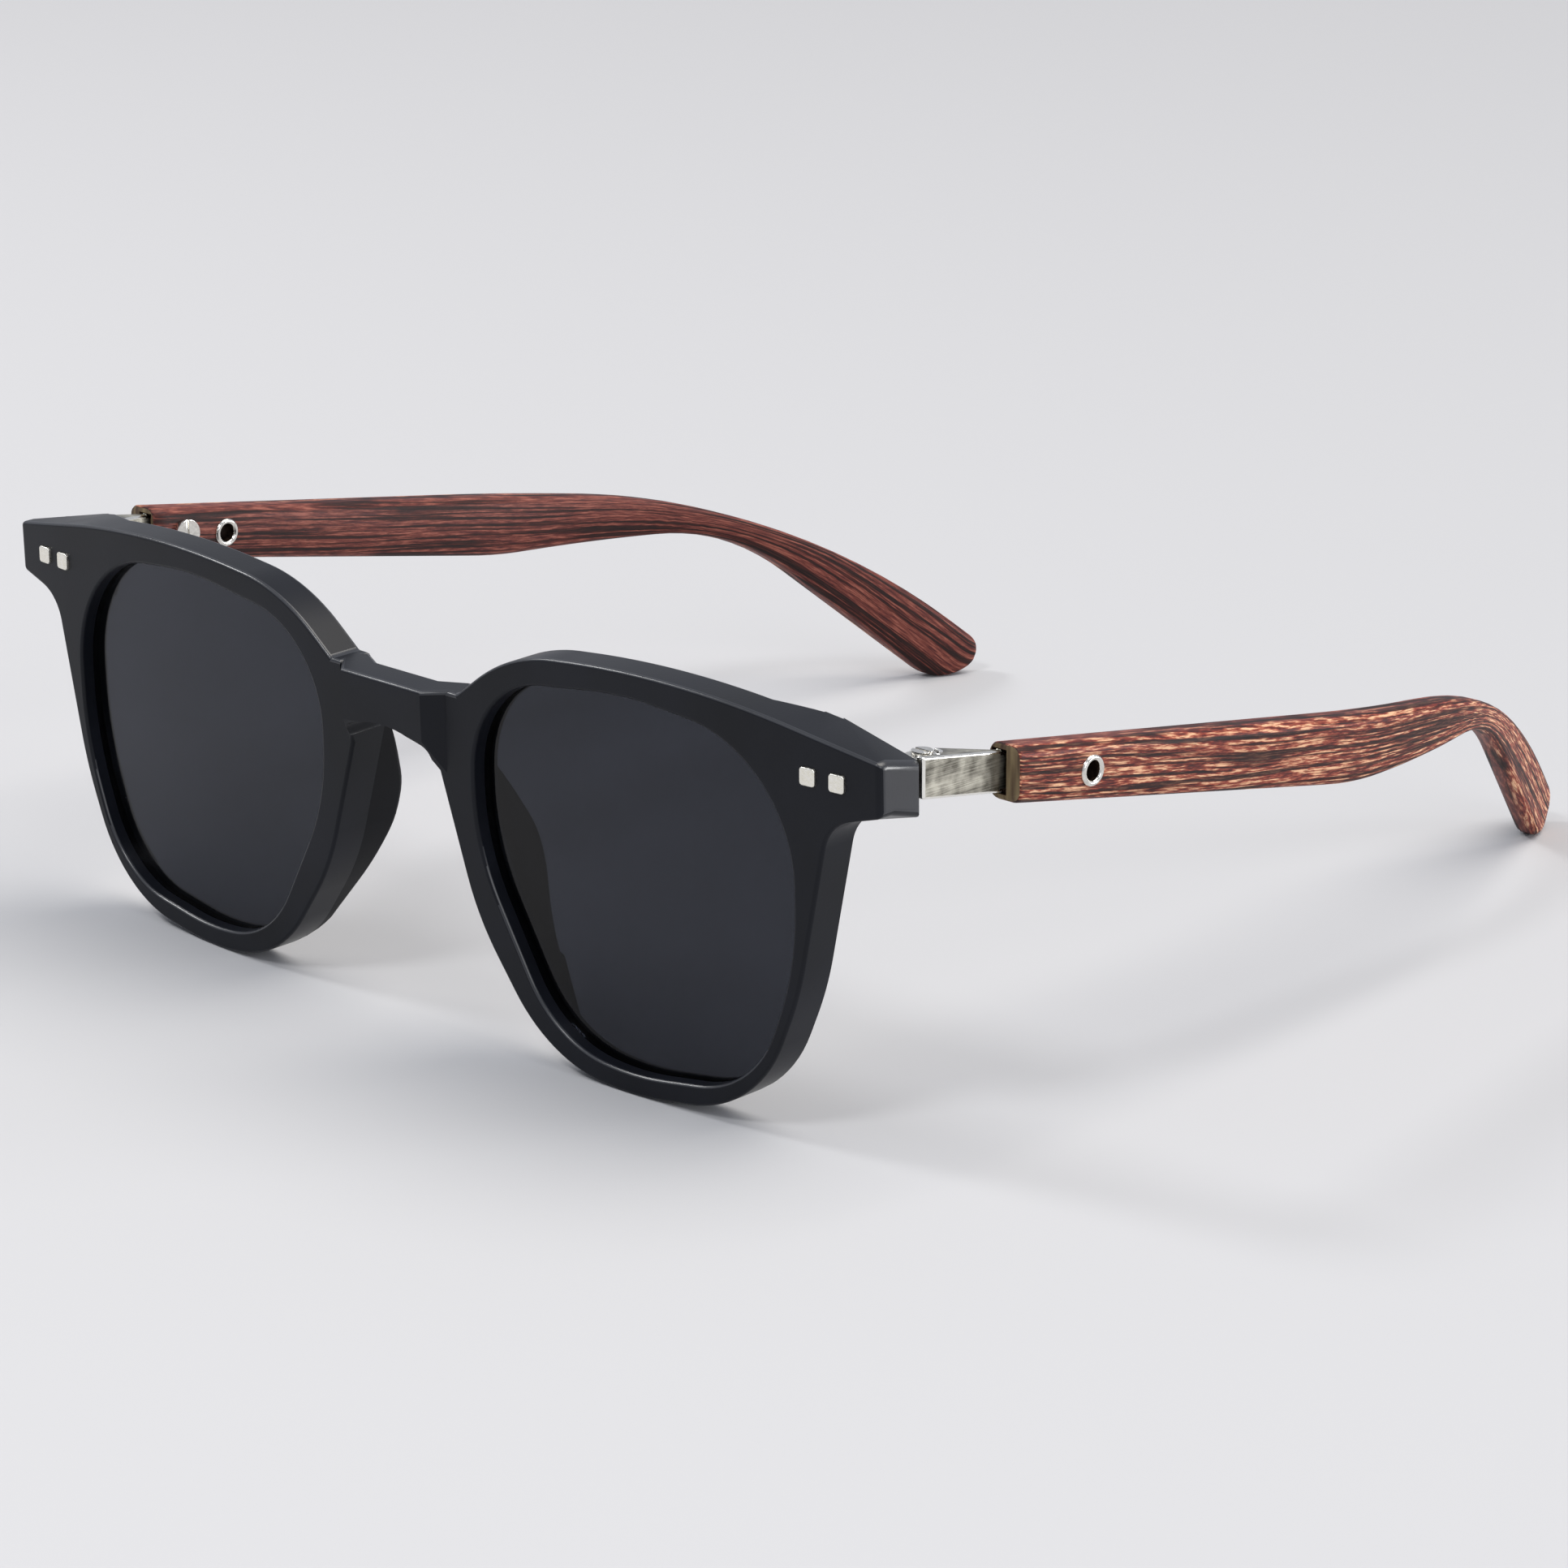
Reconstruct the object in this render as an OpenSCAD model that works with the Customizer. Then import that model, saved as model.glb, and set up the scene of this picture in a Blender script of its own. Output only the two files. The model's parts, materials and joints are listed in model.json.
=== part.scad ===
// Sunglasses: plastic front with wooden temples on metal hinge bars.
// Millimetres, +Z up, the front faces -Y, left is the wearer's left (+X).

/* [Lens opening] */
// width of one lens opening's outline box
lens_w = 47.3; // [44:0.1:54]
// height of one lens opening's outline box
lens_h = 44.2; // [40:0.1:48]
// distance between the two openings
lens_gap = 25.8; // [23:0.1:30]
// distance from the nose side to the highest corner of the brow
brow_x = 23.5; // [20:0.1:30]
// fall of the brow towards the nose
brow_in_drop = 2.8; // [1.5:0.1:4]
// fall of the brow towards the temple
brow_out_drop = 2.4; // [1:0.1:3.4]
// radius in the middle of the brow
brow_r = 45; // [30:1:60]
// radius of the corner between brow and nose side
brow_in_r = 12.7; // [9:0.1:13.5]
// radius of the corner between brow and temple side
brow_out_r = 16; // [12:0.1:18]
// height of the bend in the temple side
cheek_bend = 18.4; // [16:0.1:21]
// radius of the bend in the temple side
cheek_bend_r = 35; // [20:1:42]
// distance from the temple side to the lower outer corner
cheek_in = 6.1; // [5:0.1:9]
// height of the lower outer corner
cheek_up = 2.3; // [1:0.1:4]
// radius of the lower outer corner
cheek_r = 14; // [10:0.1:16]
// distance from the nose side to the lowest corner of the sill
sill_x = 23.6; // [23:0.1:26]
// radius in the middle of the sill
sill_r = 34; // [20:1:36]
// distance from the nose side to the lower inner corner
nose_in = 11.6; // [10:0.1:12]
// height of the lower inner corner
nose_up = 1.4; // [0.8:0.1:2.5]
// radius of the lower inner corner
nose_r = 15; // [10:0.1:15.5]
// height of the bend in the nose side
nose_bend = 21.6; // [20:0.1:23]
// radius of the bend in the nose side
nose_bend_r = 26; // [15:1:30]

/* [Rim outline] */
// height of the rim's shoulder corner over the opening's box
shoulder_up = 1.45; // [0.8:0.05:2.2]
// distance of the shoulder corner from the opening's nose side
shoulder_x = 6.4; // [5.6:0.1:8]
// radius of the shoulder
shoulder_r = 24; // [16:1:26]
// slope angle of the shoulder down to the bridge
shoulder_angle = 37; // [32:0.1:42]
// height of the brow line's corner over the opening's box
crown_up = 3.65; // [3.2:0.05:4.6]
// distance of the brow line's corner from the opening's nose side
crown_x = 31.6; // [30:0.1:34]
// radius of the brow line
crown_r = 130; // [100:1:136]
// reach of the endpiece beyond the opening
end_w = 12; // [10:0.1:14]
// fall of the endpiece's top corner below the opening's box
end_drop = 0.95; // [0.4:0.05:2]
// height of the endpiece's side
end_h = 5.95; // [5.6:0.05:7]
// reach of the corner under the endpiece beyond the opening
armpit_x = 4.85; // [4:0.05:5.5]
// fall of the corner under the endpiece below its lower corner
armpit_drop = 2; // [1:0.1:3]
// radius under the endpiece
armpit_r = 5; // [3:0.1:6]
// reach of the bend in the rim's outer side beyond the opening
flank_x = 0.45; // [0.2:0.05:1]
// height of the bend in the rim's outer side over the sill
flank_up = 14.8; // [13:0.1:17]
// radius of the bend in the rim's outer side
flank_r = 40; // [25:1:50]
// inset of the rim's lower outer corner from the temple side
heel_in = 5.9; // [5:0.1:7.5]
// fall of the rim's lower outer corner below the sill
heel_drop = 0.2; // [0.1:0.05:1]
// radius of the rim's lower outer corner
heel_r = 17; // [12:0.5:18]
// distance of the rim's lowest corner from the opening's nose side
base_x = 23.8; // [23:0.1:25]
// thickness of the rim at its lowest corner
base_drop = 2.47; // [2.2:0.01:3.2]
// radius in the middle of the rim's base
base_r = 40; // [25:1:42]
// distance of the rim's lower inner corner from the opening's nose side
toe_x = 10.5; // [9.8:0.1:11]
// fall of the rim's lower inner corner below the sill
toe_drop = 1.4; // [1.1:0.02:1.8]
// radius of the rim's lower inner corner
toe_r = 19; // [12:0.5:19.5]
// reach of the bend beside the nose past the opening's nose side
bow_x = 0.3; // [0:0.05:0.8]
// height of the bend beside the nose over the sill
bow_up = 13.2; // [12:0.1:15]
// radius of the bend beside the nose
bow_r = 30; // [20:1:36]
// reach of the rim's top beside the nose past the opening's nose side
crest_x = 6.2; // [5.6:0.05:6.8]
// height of the rim's top beside the nose over the sill
crest_up = 31.4; // [30:0.1:33]

/* [Front] */
// plan radius of the front face
front_r = 694; // [400:1:1200]
// forward lean of the front
front_lean = 1.44; // [0:0.02:4]
// thickness of the rims
rim_depth = 4.6; // [4.2:0.1:6]
// depth of the endpiece from the front face to the hinge seat
end_depth = 6.4; // [6:0.1:7.4]
// width of the hinge boss inside the endpiece
boss_in = 0.6; // [0.3:0.1:1.8]
// wall kept between the opening and the hinge boss
boss_wall = 1.3; // [1:0.1:2]
// run of the ramp from the rim's rear up to the hinge boss
boss_ramp = 6; // [4:0.1:8]
// distance behind the front face where the endpiece's top starts to fall
end_top_start = 1.2; // [0.8:0.1:2]
// rearward fall of the endpiece's top
end_top_fall = 14; // [11:0.1:16]
// outward fall of the endpiece's rear top edge
end_side_fall = 15; // [13:0.1:16]
// distance behind the front face where the endpiece's sole starts to fall
sole_start = 2; // [1.4:0.1:3]
// rearward fall of the endpiece's sole
sole_fall = 15.8; // [12:0.1:18]
// width of the endpiece's sole
sole_w = 8; // [7:0.1:9]

/* [Bridge] */
// fall of the bridge's top below the opening's box
bridge_drop = 5.1; // [4.5:0.1:6.5]
// width of the bridge's raised face
bridge_face = 13.4; // [11:0.1:15]
// run of the slope at each side of the raised face
bridge_slope = 1.9; // [1.4:0.1:2.6]
// height over the arch's corner where the raised face starts to fade out
bridge_fade_up = 0.9; // [0.7:0.05:1.2]
// height over which the raised face fades out beside the nose
bridge_fade = 3.6; // [2.8:0.1:4.4]
// height of the raised face over the front face
bridge_proud = 1.84; // [1:0.02:2.5]
// width of the bridge's rear face
bridge_rear = 10.4; // [9.6:0.1:11]
// overlap of the rims behind the bridge's slopes
bridge_lap = 0.3; // [0.1:0.05:0.6]
// thickness of the bridge behind the raised face
bridge_depth = 4.4; // [3.6:0.1:5.2]
// radius of the arch over the nose
arch_r = 16.5; // [13:0.1:18]
// fall of the arch's top below the opening's box
arch_drop = 10.4; // [9.6:0.1:10.8]
// half width of the arch
arch_half = 6.95; // [6.8:0.05:7.1]
// slope angle at the arch's ends
arch_slope = 19.5; // [17:0.1:21]
// radius of the arch's corners
arch_corner_r = 1.5; // [0.8:0.1:2]

/* [Lens] */
// thickness of a lens
lens_t = 1.6; // [1.2:0.1:1.9]
// set-back of the lens behind the front face
lens_set = 1.8; // [1.5:0.1:2.2]
// depth of the lens groove in the rim
lens_seat = 0.7; // [0.4:0.05:0.9]
// clearance of the lens in its groove
lens_clear = 0.05; // [0.02:0.01:0.1]

/* [Nose pads] */
// thickness of a pad behind the rim
pad_t = 3.6; // [2.8:0.1:3.8]
// outward splay of a pad's far side
pad_splay = 4; // [0:0.1:7]
// reach of a pad behind the front face
pad_reach = 9.9; // [9.2:0.1:11]
// reach of a pad at its upper end
pad_top_reach = 5.6; // [5.2:0.1:7]
// height of a pad's upper end over the sill
pad_top = 30.6; // [29.5:0.1:30.8]
// height of a pad's upper rear corner over the sill
pad_high = 22.5; // [21.5:0.1:24]
// height of a pad's lower rear corner over the sill
pad_low = 17.5; // [15:0.1:18.5]
// height of a pad's lower end over the sill
pad_foot = -0.5; // [-0.8:0.1:2]
// radius of a pad's upper rear corner
pad_r = 10; // [7:0.1:10.5]
// radius of a pad's lower rear corner
pad_low_r = 12; // [8:0.1:13]

/* [Rivets] */
// reach of the outer rivet beyond the opening
rivet_x = 6.35; // [6:0.05:6.8]
// distance between the two rivets
rivet_gap = 3.91; // [3.4:0.01:4.4]
// fall of the rivets below the opening's box
rivet_drop = 3.9; // [3.7:0.05:4.1]
// fall of the hinge's middle below the rivets
hinge_drop = 0.45; // [0.2:0.05:0.7]
// width of a rivet's square head
rivet_head = 2.05; // [1.7:0.05:2.4]
// corner radius of a rivet's head
rivet_corner = 0.4; // [0.2:0.05:0.6]
// height of a rivet's head over the front face
rivet_proud = 0.4; // [0.2:0.05:0.6]
// depth of a rivet's head in the front
rivet_sunk = 0.5; // [0.3:0.05:0.8]
// radius of a rivet's shank
rivet_r = 0.6; // [0.4:0.05:0.8]

/* [Hinge] */
// height of the hinge
hinge_h = 3.8; // [3.6:0.1:4.4]
// height of the middle knuckle
knuckle_h = 1.4; // [1.2:0.1:1.8]
// radius of the knuckles
knuckle_r = 1.6; // [1.4:0.05:1.7]
// distance of the hinge axis outward from the outer rivet
knuckle_x = 3.2; // [3:0.05:3.3]
// distance of the hinge axis behind the hinge seat
knuckle_y = 3.9; // [3.7:0.05:4.4]
// thickness of the hinge leaf's plate
leaf_t = 1; // [0.8:0.1:1.2]
// reach of the plate inward from the inner rivet
leaf_in = 1.8; // [1.2:0.1:2.4]
// radius of the hinge screw
screw_r = 0.7; // [0.5:0.05:0.8]
// radius of the hinge screw's head
screw_head_r = 1.2; // [1:0.05:1.35]
// height of the hinge screw's head
screw_head_h = 0.4; // [0.32:0.02:0.6]
// running clearance of the middle knuckle on the screw
run_clear = 0.05; // [0.03:0.01:0.1]
// gap over and under the middle knuckle
knuckle_gap = 0.05; // [0.03:0.01:0.1]
// gap between the bar and the front leaf's knuckles
bar_gap = 0.3; // [0.2:0.05:0.5]
// clearance of fixed pins in their holes
pin_clear = 0.02; // [0.01:0.01:0.04]

/* [Temple bar] */
// height of the bar
bar_h = 4.7; // [4.2:0.1:5]
// length of the bar from the hinge axis to the wood
bar_len = 8.9; // [8.4:0.1:11]
// gap between the bar's stop flange and the endpiece
stop_gap = 0.12; // [0.05:0.01:0.3]
// thickness of the tang
tang_t = 1.1; // [0.9:0.05:1.15]
// height of the tang inside the wood
tang_h = 4.3; // [4.2:0.05:4.4]
// length of the tang inside the wood
tang_len = 19.5; // [17:0.1:24]
// end of the bar's taper before the wood
taper_end = 0.6; // [0.3:0.1:2]

/* [Temple] */
// thickness of the wood
wood_t = 4.6; // [4.4:0.05:5]
// stand of the wood's outer face over the endpiece's side
wood_proud = 2.5; // [2.3:0.05:2.6]
// thickness of the wood at the tip
tip_t = 3.4; // [3:0.05:4.2]
// height of the wood at its front end
wood_h = 6.4; // [6:0.1:6.8]
// radius of the wood's front corners
wood_r = 1; // [0.5:0.1:1.5]
// downward angle of the middle line at the front end
mid_drop = 9.3; // [8.5:0.05:10]
// downward angle of the top edge
top_drop = 9.04; // [8.6:0.02:9.6]
// downward angle of the bottom edge
bottom_drop = 10.7; // [10.2:0.02:11.2]
// distance of the waist from the wood's front end
waist_d = 58.6; // [56:0.2:64]
// downward angle of the bottom edge behind the waist
waist_drop = 2.4; // [1.5:0.1:4]
// radius at the waist
waist_r = 60; // [30:1:100]
// radius under the ear bend
ear_low_r = 30; // [20:1:40]
// radius over the ear bend
ear_top_r = 100; // [70:1:104]
// downward angle of the tip
tip_drop = 41.7; // [40:0.1:44]
// width of the tip
tip_w = 7.8; // [7.7:0.05:9]
// distance of the tip's lowest point from the wood's front end
tip_d = 124.4; // [122:0.2:130]
// radius of the tip's lower corner
tip_low_r = 5; // [4:0.1:5.1]
// radius of the tip's upper corner
tip_top_r = 2.6; // [1.5:0.1:2.7]
// start of the inward bend from the wood's front end
bend_d = 52.4; // [48:0.2:58]
// plan radius of the inward bend
bend_r = 110; // [100:1:130]
// angle of the inward bend
bend_angle = 23; // [20:0.1:24]
// depth of the recess round the tang in the wood's front end
mouth_d = 1.4; // [0.8:0.1:2]
// width of the recess round the tang
mouth_w = 2.2; // [1.8:0.05:2.4]
// height of the recess round the tang
mouth_h = 5; // [4.9:0.02:5.1]
// clearance of the tang in the wood
tang_clear = 0.05; // [0.02:0.01:0.1]

/* [Fasteners] */
// distance of the eyelet from the wood's front end
eyelet_d = 11.7; // [11:0.1:14]
// radius of the eyelet's bore
eyelet_bore_r = 1.1; // [0.8:0.05:1.2]
// radius of the eyelet's barrel
eyelet_r = 1.4; // [1.3:0.05:1.5]
// radius of the eyelet's flanges
eyelet_flange_r = 1.8; // [1.7:0.05:2.2]
// thickness of the eyelet's flanges
eyelet_flange_t = 0.35; // [0.25:0.05:0.5]
// distance of the tang screw from the wood's front end
tang_screw_d = 5; // [4.4:0.1:6.4]
// radius of the tang screw
tang_screw_r = 0.8; // [0.6:0.05:1]
// radius of the tang screw's head
tang_head_r = 1.9; // [1.6:0.05:2]
// height of the tang screw's head
tang_head_h = 0.7; // [0.5:0.05:0.9]
// reach of the tang screw past the tang
tang_screw_past = 1.2; // [0.8:0.1:1.6]
// width of the screw slots
slot_w = 0.35; // [0.25:0.05:0.45]
// depth of the screw slots
slot_d = 0.25; // [0.15:0.05:0.28]

/* [Hidden] */

// length of one straight step on a wide curve
curve_step = 1.2;
// shortest straight step on a tight curve
fine_step = 0.12;
// largest turn of one straight step on a curve
curve_turn = 6;
// largest share of an edge that the roundings at its ends take
edge_share = 0.98;
// share of the arch's half width at its open foot
arch_open = 0.8;
// share of the arch's corner radius at its upper corners
arch_soft = 0.8;
// depth of the boss ramp's start in the rim
boss_sink = 0.1;
// roundness of drawn circles
$fn = 96;
// overshoot of cutting bodies
over = 2;
// height that clears the whole front
tall = 60;

// edges of the lens opening's box, measured from the foot of the lens box
open_in = lens_gap / 2;
open_out = open_in + lens_w;
open_top = lens_h;
side_x = open_out + end_w;
end_low = open_top - end_drop - end_h;
shoulder = [open_in + shoulder_x, open_top + shoulder_up];
bridge_top = open_top - bridge_drop;
bridge_half = shoulder[0] - (shoulder[1] - bridge_top) / tan(shoulder_angle);
arch_peak = open_top - arch_drop + arch_r * (1 / cos(arch_slope) - 1);
arch_corner = arch_peak - arch_half * tan(arch_slope);
arch_foot = arch_corner - arch_corner_r;

function unit(v) = v / norm(v);
function turned(v, a) = [v[0] * cos(a) - v[1] * sin(a), v[0] * sin(a) + v[1] * cos(a)];
function flat(p) = [p[0], p[1]];
function sag(x) = front_r - sqrt(front_r * front_r - x * x);
function low_side(v) = [v[1], -v[0]];

function half_angle(a, b, c) = acos(unit(a - b) * unit(c - b)) / 2;

// points of a corner b between a and c rounded by r
function corner(a, b, c, r) =
    let (back = unit(a - b),
         ahead = unit(c - b),
         half = half_angle(a, b, c),
         turn = 180 - 2 * half,
         arc = turn * PI * r / 180,
         centre = b + unit(back + ahead) * r / sin(half),
         start = b + back * r / tan(half) - centre,
         sense = sign(cross(b - a, c - b)),
         steps = max(ceil(arc / curve_step), min(ceil(turn / curve_turn), ceil(arc / fine_step))))
    r == 0 ? [b] : [for (i = [0 : steps]) centre + turned(start, sense * turn * i / steps)];

// closed outline of corners [x, z, radius], each radius fitted to its edges
function rounded(p) =
    let (n = len(p),
         at = [for (i = [0 : n + 1]) flat(p[(i + n - 1) % n])],
         reach = [for (i = [0 : n]) p[i % n][2] / tan(half_angle(at[i], at[i + 1], at[(i + 2) % n]))],
         room = [for (i = [0 : n - 1])
            min(1, edge_share * norm(at[i + 2] - at[i + 1]) / max(reach[i] + reach[i + 1], fine_step))])
    [for (i = [0 : n - 1])
        each corner(at[i], at[i + 1], at[i + 2], p[i][2] * min(room[(i + n - 1) % n], room[i]))];

// the same corners moved outward by g
function grown(p, g) =
    let (n = len(p))
    [for (i = [0 : n - 1])
        let (a = flat(p[(i + n - 1) % n]),
             b = flat(p[i]),
             c = flat(p[(i + 1) % n]),
             u = low_side(unit(b - a)),
             v = low_side(unit(c - b)),
             moved = b + (u + v) * g / (1 + u * v))
        [moved[0], moved[1], p[i][2] + g * sign(cross(b - a, c - b))]];

// point where the line through p at angle a meets the line through q at angle b
function meet(p, a, q, b) =
    let (d = [cos(a), sin(a)],
         e = [cos(b), sin(b)])
    p + d * cross(q - p, e) / cross(d, e);

opening = [[open_in + sill_x, 0, sill_r],
           [open_out - cheek_in, cheek_up, cheek_r],
           [open_out, cheek_bend, cheek_bend_r],
           [open_out, open_top - brow_out_drop, brow_out_r],
           [open_in + brow_x, open_top, brow_r],
           [open_in, open_top - brow_in_drop, brow_in_r],
           [open_in, nose_bend, nose_bend_r],
           [open_in + nose_in, nose_up, nose_r]];

// corners of the rim beside the nose, from the lower inner corner upward
nose_edge = [[open_in + toe_x, -toe_drop, toe_r],
             [open_in - bow_x, bow_up, bow_r],
             [open_in - crest_x, crest_up, 0]];

// end of the rim behind the bridge's slope, on the line from the rim's crest to the bridge's top
bridge_end = min(bridge_face / 2 + bridge_slope + bridge_lap, bridge_half - bridge_lap);
bridge_end_z = crest_up + (bridge_top - crest_up) * (bridge_end - nose_edge[2][0])
    / (bridge_half - nose_edge[2][0]);

rim = [[open_in + base_x, -base_drop, base_r],
       [open_out - heel_in, -heel_drop, heel_r],
       [open_out + flank_x, flank_up, flank_r],
       [open_out + armpit_x, end_low - armpit_drop, armpit_r],
       [side_x, end_low, 0],
       [side_x, open_top - end_drop, 0],
       [open_in + crown_x, open_top + crown_up, crown_r],
       [shoulder[0], shoulder[1], shoulder_r],
       [bridge_half, bridge_top, 0],
       [bridge_end, bridge_top, 0],
       [bridge_end, bridge_end_z, 0],
       nose_edge[2],
       nose_edge[1],
       nose_edge[0]];

rim_line = rounded(rim);

// gap over the nose, with its open foot drawn in between the rims
arch_line = rounded([[-arch_half * arch_open, arch_foot - arch_half / 2, 0],
                     [arch_half * arch_open, arch_foot - arch_half / 2, 0],
                     [arch_half, arch_foot, arch_corner_r],
                     [arch_half, arch_corner, arch_corner_r * arch_soft],
                     [0, arch_peak, arch_r],
                     [-arch_half, arch_corner, arch_corner_r * arch_soft],
                     [-arch_half, arch_foot, arch_corner_r]]);
// lift of the lens box that sets the rims on the ground
lift = -min([for (p = rim_line) p[1] * cos(front_lean) + sag(p[0]) * sin(front_lean)]);

// hinge seat: tilt in plan, height, and the outer rivet's place on the seat
seat_tilt = asin((open_out + rivet_x - rivet_gap / 2) / front_r);
hinge_z = lift + open_top - rivet_drop - hinge_drop;
rivet_front_x = open_out + rivet_x;
rivet_front_y = sag(rivet_front_x) - (open_top - rivet_drop) * sin(front_lean);
seat_x = rivet_front_x - end_depth * sin(seat_tilt);
seat_y = rivet_front_y + end_depth * cos(seat_tilt);
axis_x = seat_x + knuckle_x * cos(seat_tilt) - knuckle_y * sin(seat_tilt);
axis_y = seat_y + knuckle_x * sin(seat_tilt) + knuckle_y * cos(seat_tilt);
lug_low = knuckle_h / 2 + knuckle_gap;

// wood: front end, faces, and height of the middle line
wood_y = axis_y + bar_len;
wood_out = side_x + wood_proud;
wood_in = wood_out - wood_t;
wood_mid = wood_out - wood_t / 2;
function mid_z(y) = hinge_z - (y - axis_y) * tan(mid_drop);

// side outline of the wood
tip_ahead = [cos(tip_drop), -sin(tip_drop)];
tip_up = [sin(tip_drop), cos(tip_drop)];
tip_centre = [wood_y + tip_d, tip_low_r];
tip_low = tip_centre + (tip_ahead - tip_up) * tip_low_r;
tip_high = tip_low + tip_up * tip_w;
front_high = [wood_y, mid_z(wood_y) + wood_h / 2];
front_low = [wood_y, mid_z(wood_y) - wood_h / 2];
waist = front_low + [waist_d, -waist_d * tan(bottom_drop)];
ear_low = meet(waist, -waist_drop, tip_low, -tip_drop);
ear_top = meet(front_high, -top_drop, tip_high, -tip_drop);
wood_line = rounded([[front_low[0], front_low[1], wood_r],
                     [waist[0], waist[1], waist_r],
                     [ear_low[0], ear_low[1], ear_low_r],
                     [tip_low[0], tip_low[1], tip_low_r],
                     [tip_high[0], tip_high[1], tip_top_r],
                     [ear_top[0], ear_top[1], ear_top_r],
                     [front_high[0], front_high[1], wood_r]]);
tip_lift = -min([for (p = wood_line) p[1]]);

// plan outline of the wood
bend_y = wood_y + bend_d;
bend_x = wood_mid - bend_r;
bend_steps = ceil(bend_angle * PI * bend_r / (180 * curve_step));
function bend_point(r, a) = [bend_x + r * cos(a), bend_y + r * sin(a)];
// one face of the wood round the bend, thinning to the tip's thickness
function bend_face(side) =
    [for (i = [0 : bend_steps])
        let (part = i / bend_steps,
             half = (wood_t + (tip_t - wood_t) * part) / 2)
        bend_point(bend_r + side * half, bend_angle * part)];
bend_run = turned([0, tip_d], bend_angle);
out_face = bend_face(1);
in_face = bend_face(-1);
wood_plan = concat([[wood_out, wood_y - over]], out_face,
                   [out_face[bend_steps] + bend_run, in_face[bend_steps] + bend_run],
                   [for (i = [bend_steps : -1 : 0]) in_face[i]],
                   [[wood_in, wood_y - over]]);

// middle of the whole part from front to back
front_y = -(bridge_top * sin(front_lean)) - bridge_proud * cos(front_lean);
back_y = max([for (p = wood_line) p[0]]);
middle_y = (front_y + back_y) / 2;

module place() {
    translate([0, -middle_y, 0]) children();
}

module other_side() {
    mirror([1, 0, 0]) children();
}

module both_sides() {
    children();
    other_side() children();
}

// front coordinates: x, depth behind the front face, height over the lens box
module front_pose() {
    translate([0, 0, lift]) rotate([front_lean, 0, 0]) children();
}

module along_depth(from, to) {
    translate([0, to, 0]) rotate([90, 0, 0]) linear_extrude(to - from) children();
}

module along_width(from, to) {
    translate([from, 0, 0]) rotate([90, 0, 90]) linear_extrude(to - from) children();
}

module bowl(depth) {
    translate([0, front_r, -over * 4])
        cylinder(r = front_r - depth, h = tall + over * 8, $fn = 720);
}

module shell(from, to) {
    difference() {
        bowl(from);
        bowl(to);
    }
}

// hinge coordinates: along the seat, behind the seat, height over the hinge middle
module seat_pose() {
    translate([seat_x, seat_y, hinge_z]) rotate([0, 0, seat_tilt]) children();
}

module bridge_plan() {
    toe = bridge_face / 2 + bridge_slope;
    rear = bridge_depth - bridge_proud;
    sunk = bridge_proud / 2;
    root = toe + sunk * bridge_slope / bridge_proud;
    polygon([[-root, sunk],
             [-bridge_face / 2, -bridge_proud],
             [bridge_face / 2, -bridge_proud],
             [root, sunk],
             [root, rim_depth - sunk],
             [toe, rim_depth - sunk / 4],
             [bridge_rear / 2, rear],
             [-bridge_rear / 2, rear],
             [-toe, rim_depth - sunk / 4],
             [-root, rim_depth - sunk]]);
}

// side outline of the bridge, with its front fading out below the arch
module bridge_side() {
    sunk = bridge_proud / 4;
    start = arch_corner + bridge_fade_up;
    low = start - bridge_fade * (1 + sunk / bridge_proud);
    polygon([[sunk, low],
             [rim_depth, low],
             [rim_depth, bridge_top],
             [-bridge_proud - over, bridge_top],
             [-bridge_proud - over, start + over * bridge_fade / bridge_proud]]);
}

module bridge() {
    intersection() {
        translate([0, 0, arch_foot - arch_half])
            linear_extrude(bridge_top - arch_foot + arch_half) bridge_plan();
        along_width(-bridge_half - over, bridge_half + over) bridge_side();
        along_depth(-tall, tall)
            difference() {
                union() {
                    both_sides() polygon(rim_line);
                    translate([-bridge_half, arch_foot])
                        square([bridge_half * 2, bridge_top - arch_foot]);
                }
                polygon(arch_line);
            }
    }
}

// plan of the hinge boss, with a ramp up from the rim's rear
module boss_plan() {
    inner = open_out - boss_in;
    start = inner - boss_ramp;
    polygon([[start, -over],
             [side_x + over, -over],
             [side_x + over, tall / 2],
             [inner, tall / 2],
             [inner, sag(inner) + end_depth],
             [start, sag(start) + rim_depth - boss_sink]]);
}

module boss() {
    intersection() {
        shell(0, end_depth + over);
        along_depth(-over, tall) polygon(rim_line);
        translate([0, 0, end_low - armpit_drop]) linear_extrude(tall) boss_plan();
    }
}

// wedge along the sloping underside of the endpiece
module sole() {
    near = sole_start / 2;
    far = end_depth + over;
    slope = atan(armpit_drop / (end_w - armpit_x));
    intersection() {
        translate([side_x, sag(side_x), end_low])
            rotate([0, -slope, 0])
                along_width(-sole_w, over)
                    polygon([[near, (sole_start - near) * tan(sole_fall)],
                             [far, (sole_start - far) * tan(sole_fall)],
                             [far, end_h / 2],
                             [near, end_h / 2]]);
        translate([open_out, 0, 0]) cube([end_w, tall, tall]);
    }
}

// slope that takes the endpiece's top down to the rear
module end_top_cut() {
    translate([side_x, sag(side_x) + end_top_start, open_top - end_drop])
        rotate([-end_top_fall, end_side_fall, 0])
            translate([-end_w - over, -end_depth, 0])
                cube([end_w * 2, tall, tall]);
}

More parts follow.
